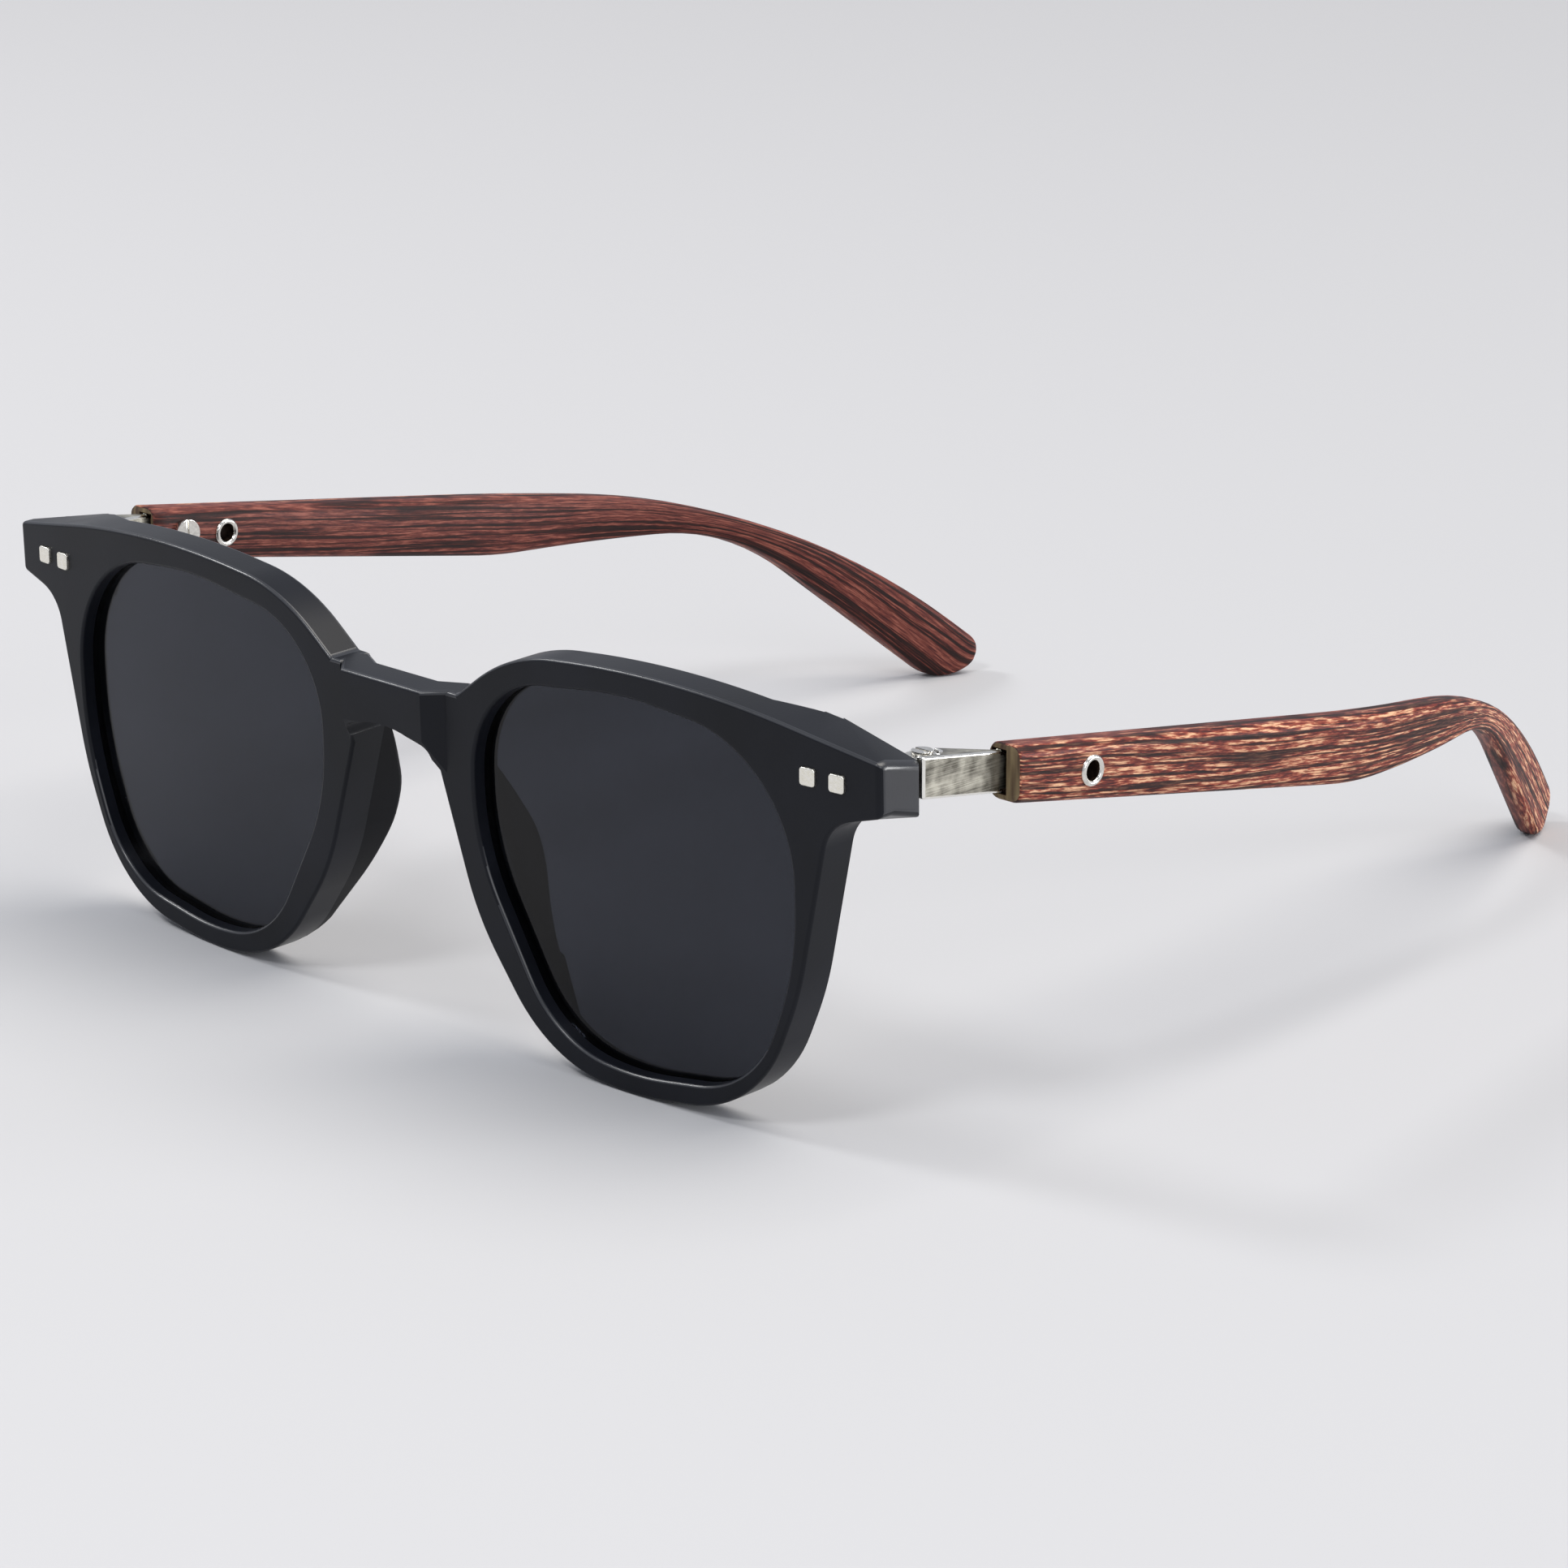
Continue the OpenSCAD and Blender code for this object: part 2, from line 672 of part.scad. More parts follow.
module front_blank() {
    front_pose() {
        both_sides()
            difference() {
                union() {
                    intersection() {
                        shell(0, rim_depth);
                        along_depth(-over, tall / 2)
                            difference() {
                                polygon(rim_line);
                                polygon(arch_line);
                            }
                    }
                    difference() {
                        boss();
                        along_depth(-over, tall * 2)
                            polygon(rounded(grown(opening, boss_wall)));
                    }
                    sole();
                }
                end_top_cut();
            }
        bridge();
    }
}

module lens_cut() {
    along_depth(-over, tall / 2) polygon(rounded(opening));
    intersection() {
        shell(lens_set - lens_clear, lens_set + lens_t + lens_clear);
        along_depth(-over, tall / 2) polygon(rounded(grown(opening, lens_seat + lens_clear)));
    }
}

module head_square(g) {
    rounded_side = rivet_head / 2 + g;
    polygon(rounded([[-rounded_side, -rounded_side, rivet_corner],
                     [rounded_side, -rounded_side, rivet_corner],
                     [rounded_side, rounded_side, rivet_corner],
                     [-rounded_side, rounded_side, rivet_corner]]));
}

module rivet_body(g, proud, rear) {
    translate([0, 0, hinge_drop]) {
        along_depth(-end_depth - proud, rivet_sunk - end_depth) head_square(g);
        translate([0, rear, 0])
            rotate([90, 0, 0])
                cylinder(r = rivet_r + g, h = rear + end_depth - rivet_sunk / 2);
    }
}

module rivet_holes() {
    rivet_body(pin_clear, over, over);
    translate([-rivet_gap, 0, 0]) rivet_body(pin_clear, over, over);
}

module seat_cut() {
    seat_pose()
        translate([-end_w - boss_in, 0, -tall])
            cube([end_w * 3, tall, tall * 2]);
}

module front_frame() {
    color("#202124")
    place()
    difference() {
        front_blank();
        front_pose() both_sides() lens_cut();
        both_sides() {
            seat_cut();
            seat_pose() rivet_holes();
        }
    }
}

// the pad's near side is the rim's own nose wall, carried on to the rear
module pad() {
    top = nose_edge[2];
    bend = nose_edge[1];
    toe = nose_edge[0];
    band = [[top[0] - over, top[1], 0],
            [bend[0] - over, bend[1], 0],
            [toe[0] - over, toe[1], 0],
            [toe[0] + pad_t, toe[1], 0],
            [bend[0] + pad_t, bend[1], bow_r],
            [top[0] + pad_t, top[1], 0]];
    side = [[0, pad_foot, 0],
            [rim_depth, pad_foot, 0],
            [pad_reach, pad_low, pad_low_r],
            [pad_reach, pad_high, pad_r],
            [pad_top_reach, pad_top, 0],
            [0, pad_top, 0]];
    difference() {
        intersection() {
            translate([bend[0], rim_depth, 0])
                rotate([0, 0, -pad_splay])
                    translate([-bend[0], 0, 0])
                        along_depth(-over, pad_reach) polygon(rounded(band));
            along_width(0, open_out) polygon(rounded(side));
            along_depth(-over, pad_reach + over) polygon(rim_line);
        }
        shell(-tall / 2, rim_depth);
    }
}

module pad_set() {
    front_pose() pad();
}

module lens() {
    front_pose()
        intersection() {
            shell(lens_set, lens_set + lens_t);
            along_depth(-over, tall / 2) polygon(rounded(grown(opening, lens_seat)));
        }
}

module rivet(at) {
    seat_pose()
        translate([at, 0, 0])
            rivet_body(0, rivet_proud, leaf_t);
}

module lug(low) {
    translate([knuckle_x, knuckle_y, low])
        cylinder(r = knuckle_r, h = hinge_h / 2 - lug_low);
    translate([knuckle_x - knuckle_r, leaf_t / 2, low])
        cube([knuckle_r * 2, knuckle_y - leaf_t / 2, hinge_h / 2 - lug_low]);
}

module hinge_leaf() {
    seat_pose()
        difference() {
            union() {
                translate([-rivet_gap - leaf_in, 0, -hinge_h / 2])
                    cube([rivet_gap + leaf_in + knuckle_x + knuckle_r, leaf_t, hinge_h]);
                lug(lug_low);
                lug(-hinge_h / 2);
            }
            translate([knuckle_x, knuckle_y, -hinge_h])
                cylinder(r = screw_r + pin_clear, h = hinge_h * 2);
            rivet_holes();
        }
}

module slot(r, top) {
    translate([-r - over, -slot_w / 2, top - slot_d])
        cube([(r + over) * 2, slot_w, slot_d + over]);
}

module hinge_screw() {
    translate([axis_x, axis_y, hinge_z])
        difference() {
            union() {
                translate([0, 0, -hinge_h / 2])
                    cylinder(r = screw_r, h = hinge_h + screw_head_h / 2);
                translate([0, 0, hinge_h / 2])
                    cylinder(r = screw_head_r, h = screw_head_h);
            }
            slot(screw_head_r, hinge_h / 2 + screw_head_h);
        }
}

module screw_line(r) {
    translate([axis_x, axis_y, 0]) cylinder(r = r, h = tall * 2);
}

module bar_plan() {
    inner = side_x - tang_t;
    stop_out = seat_y + (side_x - seat_x) * tan(seat_tilt) + stop_gap;
    stop_in = seat_y + (inner - seat_x) * tan(seat_tilt) + stop_gap;
    polygon([[side_x, stop_out],
             [side_x, wood_y + tang_len],
             [inner, wood_y + tang_len],
             [inner, wood_y - taper_end],
             [axis_x - bar_gap, axis_y + knuckle_r + bar_gap * 2],
             [axis_x + bar_gap, axis_y],
             [inner, axis_y],
             [inner, stop_in]]);
}

// sloping band of height h about the middle line, from one depth to another
module slope_band(h, from, to) {
    polygon([[from, mid_z(from) - h / 2],
             [to, mid_z(to) - h / 2],
             [to, mid_z(to) + h / 2],
             [from, mid_z(from) + h / 2]]);
}

module across_wood(y, from, to, r) {
    translate([from, y, mid_z(y)]) rotate([0, 90, 0]) cylinder(r = r, h = to - from);
}

module knuckle_slab() {
    translate([0, 0, hinge_z - knuckle_h / 2]) linear_extrude(knuckle_h) children();
}

module temple_bar() {
    difference() {
        union() {
            intersection() {
                difference() {
                    linear_extrude(tall) bar_plan();
                    screw_line(knuckle_r + bar_gap);
                }
                along_width(axis_x - end_w, side_x + over) {
                    slope_band(bar_h, 0, wood_y);
                    slope_band(tang_h, wood_y - over, wood_y + tang_len);
                }
            }
            knuckle_slab() {
                translate([axis_x, axis_y]) circle(r = knuckle_r);
                intersection() {
                    bar_plan();
                    translate([axis_x, axis_y]) circle(r = knuckle_r * 2);
                }
            }
        }
        screw_line(screw_r + run_clear);
        across_wood(wood_y + eyelet_d, 0, side_x + over, eyelet_r + pin_clear);
        across_wood(wood_y + tang_screw_d, 0, side_x + over, tang_screw_r + pin_clear);
    }
}

module temple() {
    difference() {
        translate([0, 0, tip_lift])
            intersection() {
                along_width(0, wood_out + over) polygon(wood_line);
                translate([0, 0, -tall]) linear_extrude(tall * 2) polygon(wood_plan);
            }
        along_width(side_x - tang_t - tang_clear, side_x + tang_clear)
            slope_band(tang_h + tang_clear * 2, wood_y - over, wood_y + tang_len + tang_clear);
        along_width(side_x - tang_t / 2 - mouth_w / 2, side_x - tang_t / 2 + mouth_w / 2)
            slope_band(mouth_h, wood_y - over, wood_y + mouth_d);
        across_wood(wood_y + eyelet_d, 0, wood_out + over, eyelet_r + pin_clear);
        across_wood(wood_y + tang_screw_d, 0, side_x + tang_screw_past + pin_clear,
                    tang_screw_r + pin_clear);
    }
}

module eyelet() {
    at = wood_y + eyelet_d;
    difference() {
        union() {
            across_wood(at, wood_in - eyelet_flange_t, wood_out + eyelet_flange_t, eyelet_r);
            across_wood(at, wood_in - eyelet_flange_t, wood_in, eyelet_flange_r);
            across_wood(at, wood_out, wood_out + eyelet_flange_t, eyelet_flange_r);
        }
        across_wood(at, 0, wood_out + over, eyelet_bore_r);
    }
}

module tang_screw() {
    at = wood_y + tang_screw_d;
    difference() {
        union() {
            across_wood(at, wood_in - tang_head_h / 2, side_x + tang_screw_past, tang_screw_r);
            across_wood(at, wood_in - tang_head_h, wood_in, tang_head_r);
        }
        translate([wood_in, at, mid_z(at)])
            rotate([0, -90, 0])
                slot(tang_head_r, tang_head_h);
    }
}

module nose_pad_left() {
    color("#26272a") place() pad_set();
}

module nose_pad_right() {
    color("#26272a") place() other_side() pad_set();
}

module lens_left() {
    color("#3a3d42") place() lens();
}

module lens_right() {
    color("#3a3d42") place() other_side() lens();
}

module rivet_left_outer() {
    color("#c9ccd0") place() rivet(0);
}

module rivet_left_inner() {
    color("#c9ccd0") place() rivet(-rivet_gap);
}

module rivet_right_outer() {
    color("#c9ccd0") place() other_side() rivet(0);
}

module rivet_right_inner() {
    color("#c9ccd0") place() other_side() rivet(-rivet_gap);
}

module hinge_leaf_left() {
    color("#b4b8bd") place() hinge_leaf();
}

module hinge_leaf_right() {
    color("#b4b8bd") place() other_side() hinge_leaf();
}

module hinge_screw_left() {
    color("#d4d6da") place() hinge_screw();
}

module hinge_screw_right() {
    color("#d4d6da") place() other_side() hinge_screw();
}

module temple_bar_left() {
    color("#aeb2b8") place() temple_bar();
}

module temple_bar_right() {
    color("#aeb2b8") place() other_side() temple_bar();
}

module temple_left() {
    color("#a8683f") place() temple();
}

module temple_right() {
    color("#a8683f") place() other_side() temple();
}

module eyelet_left() {
    color("#d8dade") place() eyelet();
}

module eyelet_right() {
    color("#d8dade") place() other_side() eyelet();
}

module tang_screw_left() {
    color("#d8dade") place() tang_screw();
}

module tang_screw_right() {
    color("#d8dade") place() other_side() tang_screw();
}

front_frame();
nose_pad_left();
nose_pad_right();
lens_left();
lens_right();
rivet_left_outer();
rivet_left_inner();
rivet_right_outer();
rivet_right_inner();
hinge_leaf_left();
hinge_leaf_right();
hinge_screw_left();
hinge_screw_right();
temple_bar_left();
temple_bar_right();
temple_left();
temple_right();
eyelet_left();
eyelet_right();
tang_screw_left();
tang_screw_right();
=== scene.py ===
"""Sunglasses with a matte plastic front, smoke lenses and wooden temples on metal hinge bars.

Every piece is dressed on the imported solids, in metres and in their frame:
+Z is up, the front faces -Y, and +X is the wearer's left.
"""

import json
import math

import bpy
from mathutils import Matrix, Vector


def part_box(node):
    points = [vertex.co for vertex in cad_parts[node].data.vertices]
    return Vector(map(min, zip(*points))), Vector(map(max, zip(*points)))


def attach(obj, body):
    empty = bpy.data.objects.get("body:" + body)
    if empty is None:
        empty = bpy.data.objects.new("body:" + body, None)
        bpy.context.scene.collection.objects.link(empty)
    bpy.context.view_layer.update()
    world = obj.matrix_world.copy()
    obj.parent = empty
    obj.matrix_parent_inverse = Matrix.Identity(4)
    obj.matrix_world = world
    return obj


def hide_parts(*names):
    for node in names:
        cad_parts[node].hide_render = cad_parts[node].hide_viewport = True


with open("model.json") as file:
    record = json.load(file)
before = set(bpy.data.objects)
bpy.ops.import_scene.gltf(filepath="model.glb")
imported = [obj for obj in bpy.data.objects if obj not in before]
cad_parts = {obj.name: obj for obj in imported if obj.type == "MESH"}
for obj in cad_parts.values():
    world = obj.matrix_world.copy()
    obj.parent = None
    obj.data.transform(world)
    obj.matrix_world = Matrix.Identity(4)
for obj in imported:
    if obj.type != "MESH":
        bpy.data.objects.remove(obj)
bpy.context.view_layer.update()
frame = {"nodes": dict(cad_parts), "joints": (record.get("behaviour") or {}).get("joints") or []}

MM = 0.001
SIDES = ("left", "right")

# edges that turn by more than this get rounded, and faces that turn by less become one, in degrees
SHARP = 28
SHARP_BAR = 40
SHARP_HINGE = 50
FLAT = 0.4
BEVEL_STEPS = 4

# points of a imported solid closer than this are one, in millimetres
MERGE = 0.002
FRONT_MERGE = 0.05
PAD_MERGE = 0.3
WELD = 0.004

# widths of the rounded edges, in millimetres
RIM_EASE = 0.42
ENDPIECE_EASE = 0.8
PAD_EASE = 0.8
RIVET_EASE = 0.16
RIVET_FACE = 0.25
LEAF_EASE = 0.12
SCREW_EASE = 0.08
BAR_EASE = 0.3

# the front's own coordinates: its bow, its lean, and where its lens box stands, in millimetres
FRONT_BOW_R = 694.0
FRONT_LEAN = math.radians(1.44)
FRONT_SEAT = Vector((0.0, -73.87, 2.237))
BRIDGE_HALF = 11.0
ENDPIECE_IN = 62.0
ENDPIECE_OUT = 72.2
RIM_DEPTH = 4.6

# where edges of the front stay sharp: depths of the lens groove, heights of the gap over the nose,
# and the ramps behind the hinges, in millimetres
GROOVE_FRONT = 0.8
GROOVE_REAR = 4.0
ARCH_LOW = 30.5
ARCH_HIGH = 38.5
RAMP_IN = 52.0
RAMP_HIGH = 43.5

# the pad's rounding starts this far behind the rim, in millimetres
PAD_START = 1.2
PAD_FADE = 1.0

# the hinge axis and the wood that starts behind it, in millimetres
HINGE = [v / MM for v in frame["joints"][0]["pos_m"]]
WOOD_LOW = [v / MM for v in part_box("temple_left")[0]]
WOOD_HIGH = [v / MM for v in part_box("temple_left")[1]]
WOOD_FRONT = WOOD_LOW[1]
WOOD_OUT = WOOD_HIGH[0]
WOOD_THICK = 4.6
WOOD_TALL = 6.4
WOOD_EDGE = 1.25
WOOD_END_EASE = 0.45
TIP_THICK = 3.4
TIP_WIDTH = 7.8
TIP_RUN = 124.4
TIP_LOW_R = 5.0
TIP_TOP_R = 2.6
TIP_EASE = 1.1
MID_DROP = math.radians(9.3)
TOP_DROP = math.radians(9.04)
BOTTOM_DROP = math.radians(10.7)
WAIST_RUN = 58.6
WAIST_DROP = math.radians(2.4)
WAIST_R = 60.0
EAR_LOW_R = 30.0
EAR_TOP_R = 100.0
TIP_DROP = math.radians(41.7)
BEND_RUN = 52.4
BEND_R = 110.0
BEND_ANGLE = math.radians(23.0)
MOUTH_DEEP = 1.4
MOUTH_WIDE = 2.2
MOUTH_TALL = 5.0
TANG_THICK = 1.1
WOOD_PROUD = 2.5

# height of the wood's middle where it starts, in millimetres
WOOD_MID = HINGE[2] - (WOOD_FRONT - HINGE[1]) * math.tan(MID_DROP)

# sections of the board along its run, round the ear and at the tip
RUN_STEPS = 44
EAR_STEPS = 16
TIP_STEPS = 10

# the rolled eyelets and the holes in the wood, in millimetres
BORE_R = 1.1
BARREL_R = 1.4
WOOD_HOLE_R = 1.42
EYELET_LIP = 0.35
EYELET_FLARE = 0.3
EYELET_SIDES = 72
HOLE_SIDES = 48

# the camera: its axes, its place in millimetres, its lens and sensor
VIEW_BACK = (0.6666, -0.6816, 0.3018)
VIEW_RIGHT = (0.7154, 0.6987, -0.0023)
VIEW_PLACE = (425.66, -446.897, 206.897)
VIEW_LENS = 119.70
VIEW_SENSOR = 36.0


# Finishes


def linear(code):
    """Linear colour of an sRGB hex value such as c8c6c2."""
    parts = [int(code[i:i + 2], 16) / 255 for i in (0, 2, 4)]
    return tuple(p / 12.92 if p <= 0.04045 else ((p + 0.055) / 1.055) ** 2.4 for p in parts) + (1.0,)


def add_node(tree, kind, inputs=None, **settings):
    """Adds one shader node. A socket takes a value, or a pair of a node and its output."""
    node = tree.nodes.new("ShaderNode" + kind)
    for key, value in settings.items():
        setattr(node, key, value)
    for socket, value in (inputs or {}).items():
        if isinstance(value, tuple) and isinstance(value[0], bpy.types.Node):
            tree.links.new(value[0].outputs[value[1]], node.inputs[socket])
        else:
            node.inputs[socket].default_value = value
    return node


def set_stops(ramp, stops):
    """Gives a colour ramp its stops of place and hex colour."""
    points = ramp.color_ramp.elements
    while len(points) < len(stops):
        points.new(0.5)
    for point, (place, code) in zip(points, stops):
        point.position = place
        point.color = linear(code)
    return ramp


def new_finish(name):
    """An empty material and its node tree."""
    finish = bpy.data.materials.new(name)
    finish.use_nodes = True
    finish.node_tree.nodes.clear()
    return finish, finish.node_tree


def close_finish(finish, tree, shader):
    add_node(tree, "OutputMaterial", {"Surface": (shader, 0)})
    return finish


def moulded_matte_plastic(name, dark, pale, rough, gloss):
    """Injection-moulded nylon with a blasted mould face: dull, faintly uneven, soft highlights."""
    finish, tree = new_finish(name)
    place = add_node(tree, "TexCoord")
    # flow marks about 14 mm across, hardly lighter than the rest
    flow = add_node(tree, "TexNoise", {"Vector": (place, "Object"), "Scale": 70.0, "Detail": 3.0})
    # the blasted grain is about 0.05 mm, drawn at 0.3 mm so that it shows
    grain = add_node(tree, "TexNoise", {"Vector": (place, "Object"), "Scale": 3300.0, "Detail": 2.0})
    tint = set_stops(add_node(tree, "ValToRGB", {"Fac": (flow, "Fac")}), [(0.35, dark), (0.7, pale)])
    dull = add_node(tree, "MapRange", {"Value": (flow, "Fac"), "From Min": 0.3, "From Max": 0.7,
                                       "To Min": rough - 0.04, "To Max": rough + 0.05})
    bump = add_node(tree, "Bump", {"Height": (grain, "Fac"), "Strength": 0.16, "Distance": 0.00003})
    shader = add_node(tree, "BsdfPrincipled", {"Base Color": (tint, "Color"), "Roughness": (dull, "Result"),
                                               "IOR": 1.5, "Specular IOR Level": gloss,
                                               "Normal": (bump, "Normal")})
    return close_finish(finish, tree, shader)


def smoke_polycarbonate():
    """Dyed polycarbonate with an anti-glare coat: dark neutral tint with a breath of blue."""
    finish, tree = new_finish("smoke_polycarbonate")
    place = add_node(tree, "TexCoord")
    # wiping haze in patches about 20 mm across
    haze = add_node(tree, "TexNoise", {"Vector": (place, "Object"), "Scale": 50.0, "Detail": 4.0})
    dull = add_node(tree, "MapRange", {"Value": (haze, "Fac"), "From Min": 0.35, "From Max": 0.7,
                                       "To Min": 0.02, "To Max": 0.07})
    # the index is that of the coated face, which reflects less than bare polycarbonate
    tint = set_stops(add_node(tree, "ValToRGB", {"Fac": (haze, "Fac")}),
                     [(0.3, "282b33"), (0.75, "2d3039")])
    shader = add_node(tree, "BsdfPrincipled", {"Base Color": (tint, "Color"), "Roughness": (dull, "Result"),
                                               "IOR": 1.3, "Transmission Weight": 1.0})
    return close_finish(finish, tree, shader)


def polished_steel(name, code, rough, pale="f4f2ec"):
    """Tumbled stainless steel: bright, with a faint orange peel and hairline marks."""
    finish, tree = new_finish(name)
    place = add_node(tree, "TexCoord")
    # tumbling marks about 0.4 mm apart
    peel = add_node(tree, "TexNoise", {"Vector": (place, "Object"), "Scale": 2500.0, "Detail": 3.0})
    dull = add_node(tree, "MapRange", {"Value": (peel, "Fac"), "From Min": 0.3, "From Max": 0.7,
                                       "To Min": rough * 0.75, "To Max": rough * 1.3})
    tint = set_stops(add_node(tree, "ValToRGB", {"Fac": (peel, "Fac")}), [(0.2, code), (0.8, pale)])
    bump = add_node(tree, "Bump", {"Height": (peel, "Fac"), "Strength": 0.1, "Distance": 0.00002})
    shader = add_node(tree, "BsdfPrincipled", {"Base Color": (tint, "Color"), "Roughness": (dull, "Result"),
                                               "Metallic": 1.0, "Normal": (bump, "Normal")})
    return close_finish(finish, tree, shader)


def brushed_steel_bar():
    """Flat steel bar brushed along its length: warm grey with fine lengthwise lines."""
    finish, tree = new_finish("brushed_steel_bar")
    place = add_node(tree, "TexCoord")
    # brush lines 0.12 mm apart and about 5 mm long
    line = add_node(tree, "Mapping", {"Vector": (place, "Object"), "Scale": (8300.0, 200.0, 8300.0)})
    brush = add_node(tree, "TexNoise", {"Vector": (line, "Vector"), "Scale": 1.0, "Detail": 3.0})
    # handling stains about 2 mm across
    stain = add_node(tree, "TexNoise", {"Vector": (place, "Object"), "Scale": 500.0, "Detail": 4.0})
    both = add_node(tree, "Mix", {0: 0.6, 2: (brush, "Fac"), 3: (stain, "Fac")}, data_type="FLOAT")
    tint = set_stops(add_node(tree, "ValToRGB", {"Fac": (both, 0)}), [(0.36, "56534b"), (0.64, "b9b6aa")])
    dull = add_node(tree, "MapRange", {"Value": (both, 0), "From Min": 0.3, "From Max": 0.7,
                                       "To Min": 0.34, "To Max": 0.5})
    bump = add_node(tree, "Bump", {"Height": (brush, "Fac"), "Strength": 0.2, "Distance": 0.00002})
    shader = add_node(tree, "BsdfPrincipled", {"Base Color": (tint, "Color"), "Roughness": (dull, "Result"),
                                               "Metallic": 1.0, "Normal": (bump, "Normal")})
    return close_finish(finish, tree, shader)


def streaked_rosewood():
    """Oiled rosewood veneer on a mahogany core: tan flecks and dark pore lines along the run."""
    finish, tree = new_finish("streaked_rosewood")
    run = add_node(tree, "UVMap", uv_map="grain")
    layer = add_node(tree, "UVMap", uv_map="layer")
    depth = add_node(tree, "SeparateXYZ", {"Vector": (layer, "UV")})
    # the pattern drifts a little through the thickness, so that the edges carry it round
    seat = add_node(tree, "CombineXYZ", {"Z": (depth, "X")})
    solid = add_node(tree, "VectorMath", {0: (run, "UV"), 1: (seat, "Vector")}, operation="ADD")
    # slow waver of the grain, about 25 mm long and 0.6 mm high
    slow = add_node(tree, "Mapping", {"Vector": (solid, "Vector"), "Scale": (40.0, 130.0, 130.0)})
    waver = add_node(tree, "TexNoise", {"Vector": (slow, "Vector"), "Scale": 1.0, "Detail": 1.0})
    shift = add_node(tree, "MapRange", {"Value": (waver, "Fac"), "To Min": -0.0006, "To Max": 0.0006})
    push = add_node(tree, "CombineXYZ", {"Y": (shift, "Result")})
    flow = add_node(tree, "VectorMath", {0: (solid, "Vector"), 1: (push, "Vector")}, operation="ADD")
    # dark growth lines, 29 mm long and 0.5 mm apart
    band_place = add_node(tree, "Mapping", {"Vector": (flow, "Vector"), "Scale": (34.0, 2000.0, 900.0)})
    band = add_node(tree, "TexNoise", {"Vector": (band_place, "Vector"), "Scale": 1.0, "Detail": 3.0,
                                       "Roughness": 0.5})
    # tan flecks, 2.9 mm long and 0.27 mm high
    fleck_place = add_node(tree, "Mapping", {"Vector": (flow, "Vector"), "Scale": (340.0, 3700.0, 1500.0)})
    fleck = add_node(tree, "TexNoise", {"Vector": (fleck_place, "Vector"), "Scale": 1.0, "Detail": 3.0,
                                        "Roughness": 0.62})
    # open pores, 1.2 mm long and 0.12 mm high
    pore_place = add_node(tree, "Mapping", {"Vector": (flow, "Vector"), "Scale": (800.0, 7000.0, 5000.0)})
    pore = add_node(tree, "TexNoise", {"Vector": (pore_place, "Vector"), "Scale": 1.0, "Detail": 2.0})
    veneer = set_stops(add_node(tree, "ValToRGB", {"Fac": (fleck, "Fac")}),
                       [(0.37, "431210"), (0.46, "782a1f"), (0.53, "a45a42"), (0.61, "e2b18b")])
    core = set_stops(add_node(tree, "ValToRGB", {"Fac": (fleck, "Fac")}),
                     [(0.33, "43191a"), (0.5, "6b332a"), (0.67, "97594a")])
    # the veneer is the outer 1.6 mm
    skin = add_node(tree, "MapRange", {"Value": (depth, "X"), "From Min": -0.0002, "From Max": 0.0014})
    wood = add_node(tree, "Mix", {0: (skin, "Result"), 6: (core, "Color"), 7: (veneer, "Color")},
                    data_type="RGBA")
    dark = set_stops(add_node(tree, "ValToRGB", {"Fac": (band, "Fac")}),
                     [(0.42, "350d13"), (0.475, "93675f"), (0.52, "ffffff")])
    banded = add_node(tree, "Mix", {0: 0.92, 6: (wood, 2), 7: (dark, "Color")}, data_type="RGBA",
                      blend_type="MULTIPLY")
    pit = set_stops(add_node(tree, "ValToRGB", {"Fac": (pore, "Fac")}), [(0.3, "5d4640"), (0.42, "ffffff")])
    tint = add_node(tree, "Mix", {0: 0.6, 6: (banded, 2), 7: (pit, "Color")}, data_type="RGBA",
                    blend_type="MULTIPLY")
    dull = add_node(tree, "MapRange", {"Value": (band, "Fac"), "From Min": 0.35, "From Max": 0.65,
                                       "To Min": 0.58, "To Max": 0.46})
    rise = add_node(tree, "Mix", {0: 0.5, 2: (fleck, "Fac"), 3: (pore, "Fac")}, data_type="FLOAT")
    bump = add_node(tree, "Bump", {"Height": (rise, 0), "Strength": 0.35, "Distance": 0.00012})
    shader = add_node(tree, "BsdfPrincipled", {"Base Color": (tint, 2), "Roughness": (dull, "Result"),
                                               "IOR": 1.48, "Specular IOR Level": 0.28,
                                               "Normal": (bump, "Normal")})
    return close_finish(finish, tree, shader)


def sawn_end_grain(name, dark, pale):
    """The temple's sawn front end: olive-brown ply lines across the thickness, dull and open."""
    finish, tree = new_finish(name)
    place = add_node(tree, "TexCoord")
    # plies 0.8 mm thick, seen on edge
    ply_place = add_node(tree, "Mapping", {"Vector": (place, "Object"), "Scale": (1250.0, 60.0, 120.0)})
    ply = add_node(tree, "TexNoise", {"Vector": (ply_place, "Vector"), "Scale": 1.0, "Detail": 2.0})
    # saw fuzz about 0.2 mm
    fuzz = add_node(tree, "TexNoise", {"Vector": (place, "Object"), "Scale": 5000.0, "Detail": 2.0})
    tint = set_stops(add_node(tree, "ValToRGB", {"Fac": (ply, "Fac")}), [(0.35, dark), (0.65, pale)])
    bump = add_node(tree, "Bump", {"Height": (fuzz, "Fac"), "Strength": 0.4, "Distance": 0.00005})
    shader = add_node(tree, "BsdfPrincipled", {"Base Color": (tint, "Color"), "Roughness": 0.72,
                                               "IOR": 1.48, "Normal": (bump, "Normal")})
    return close_finish(finish, tree, shader)


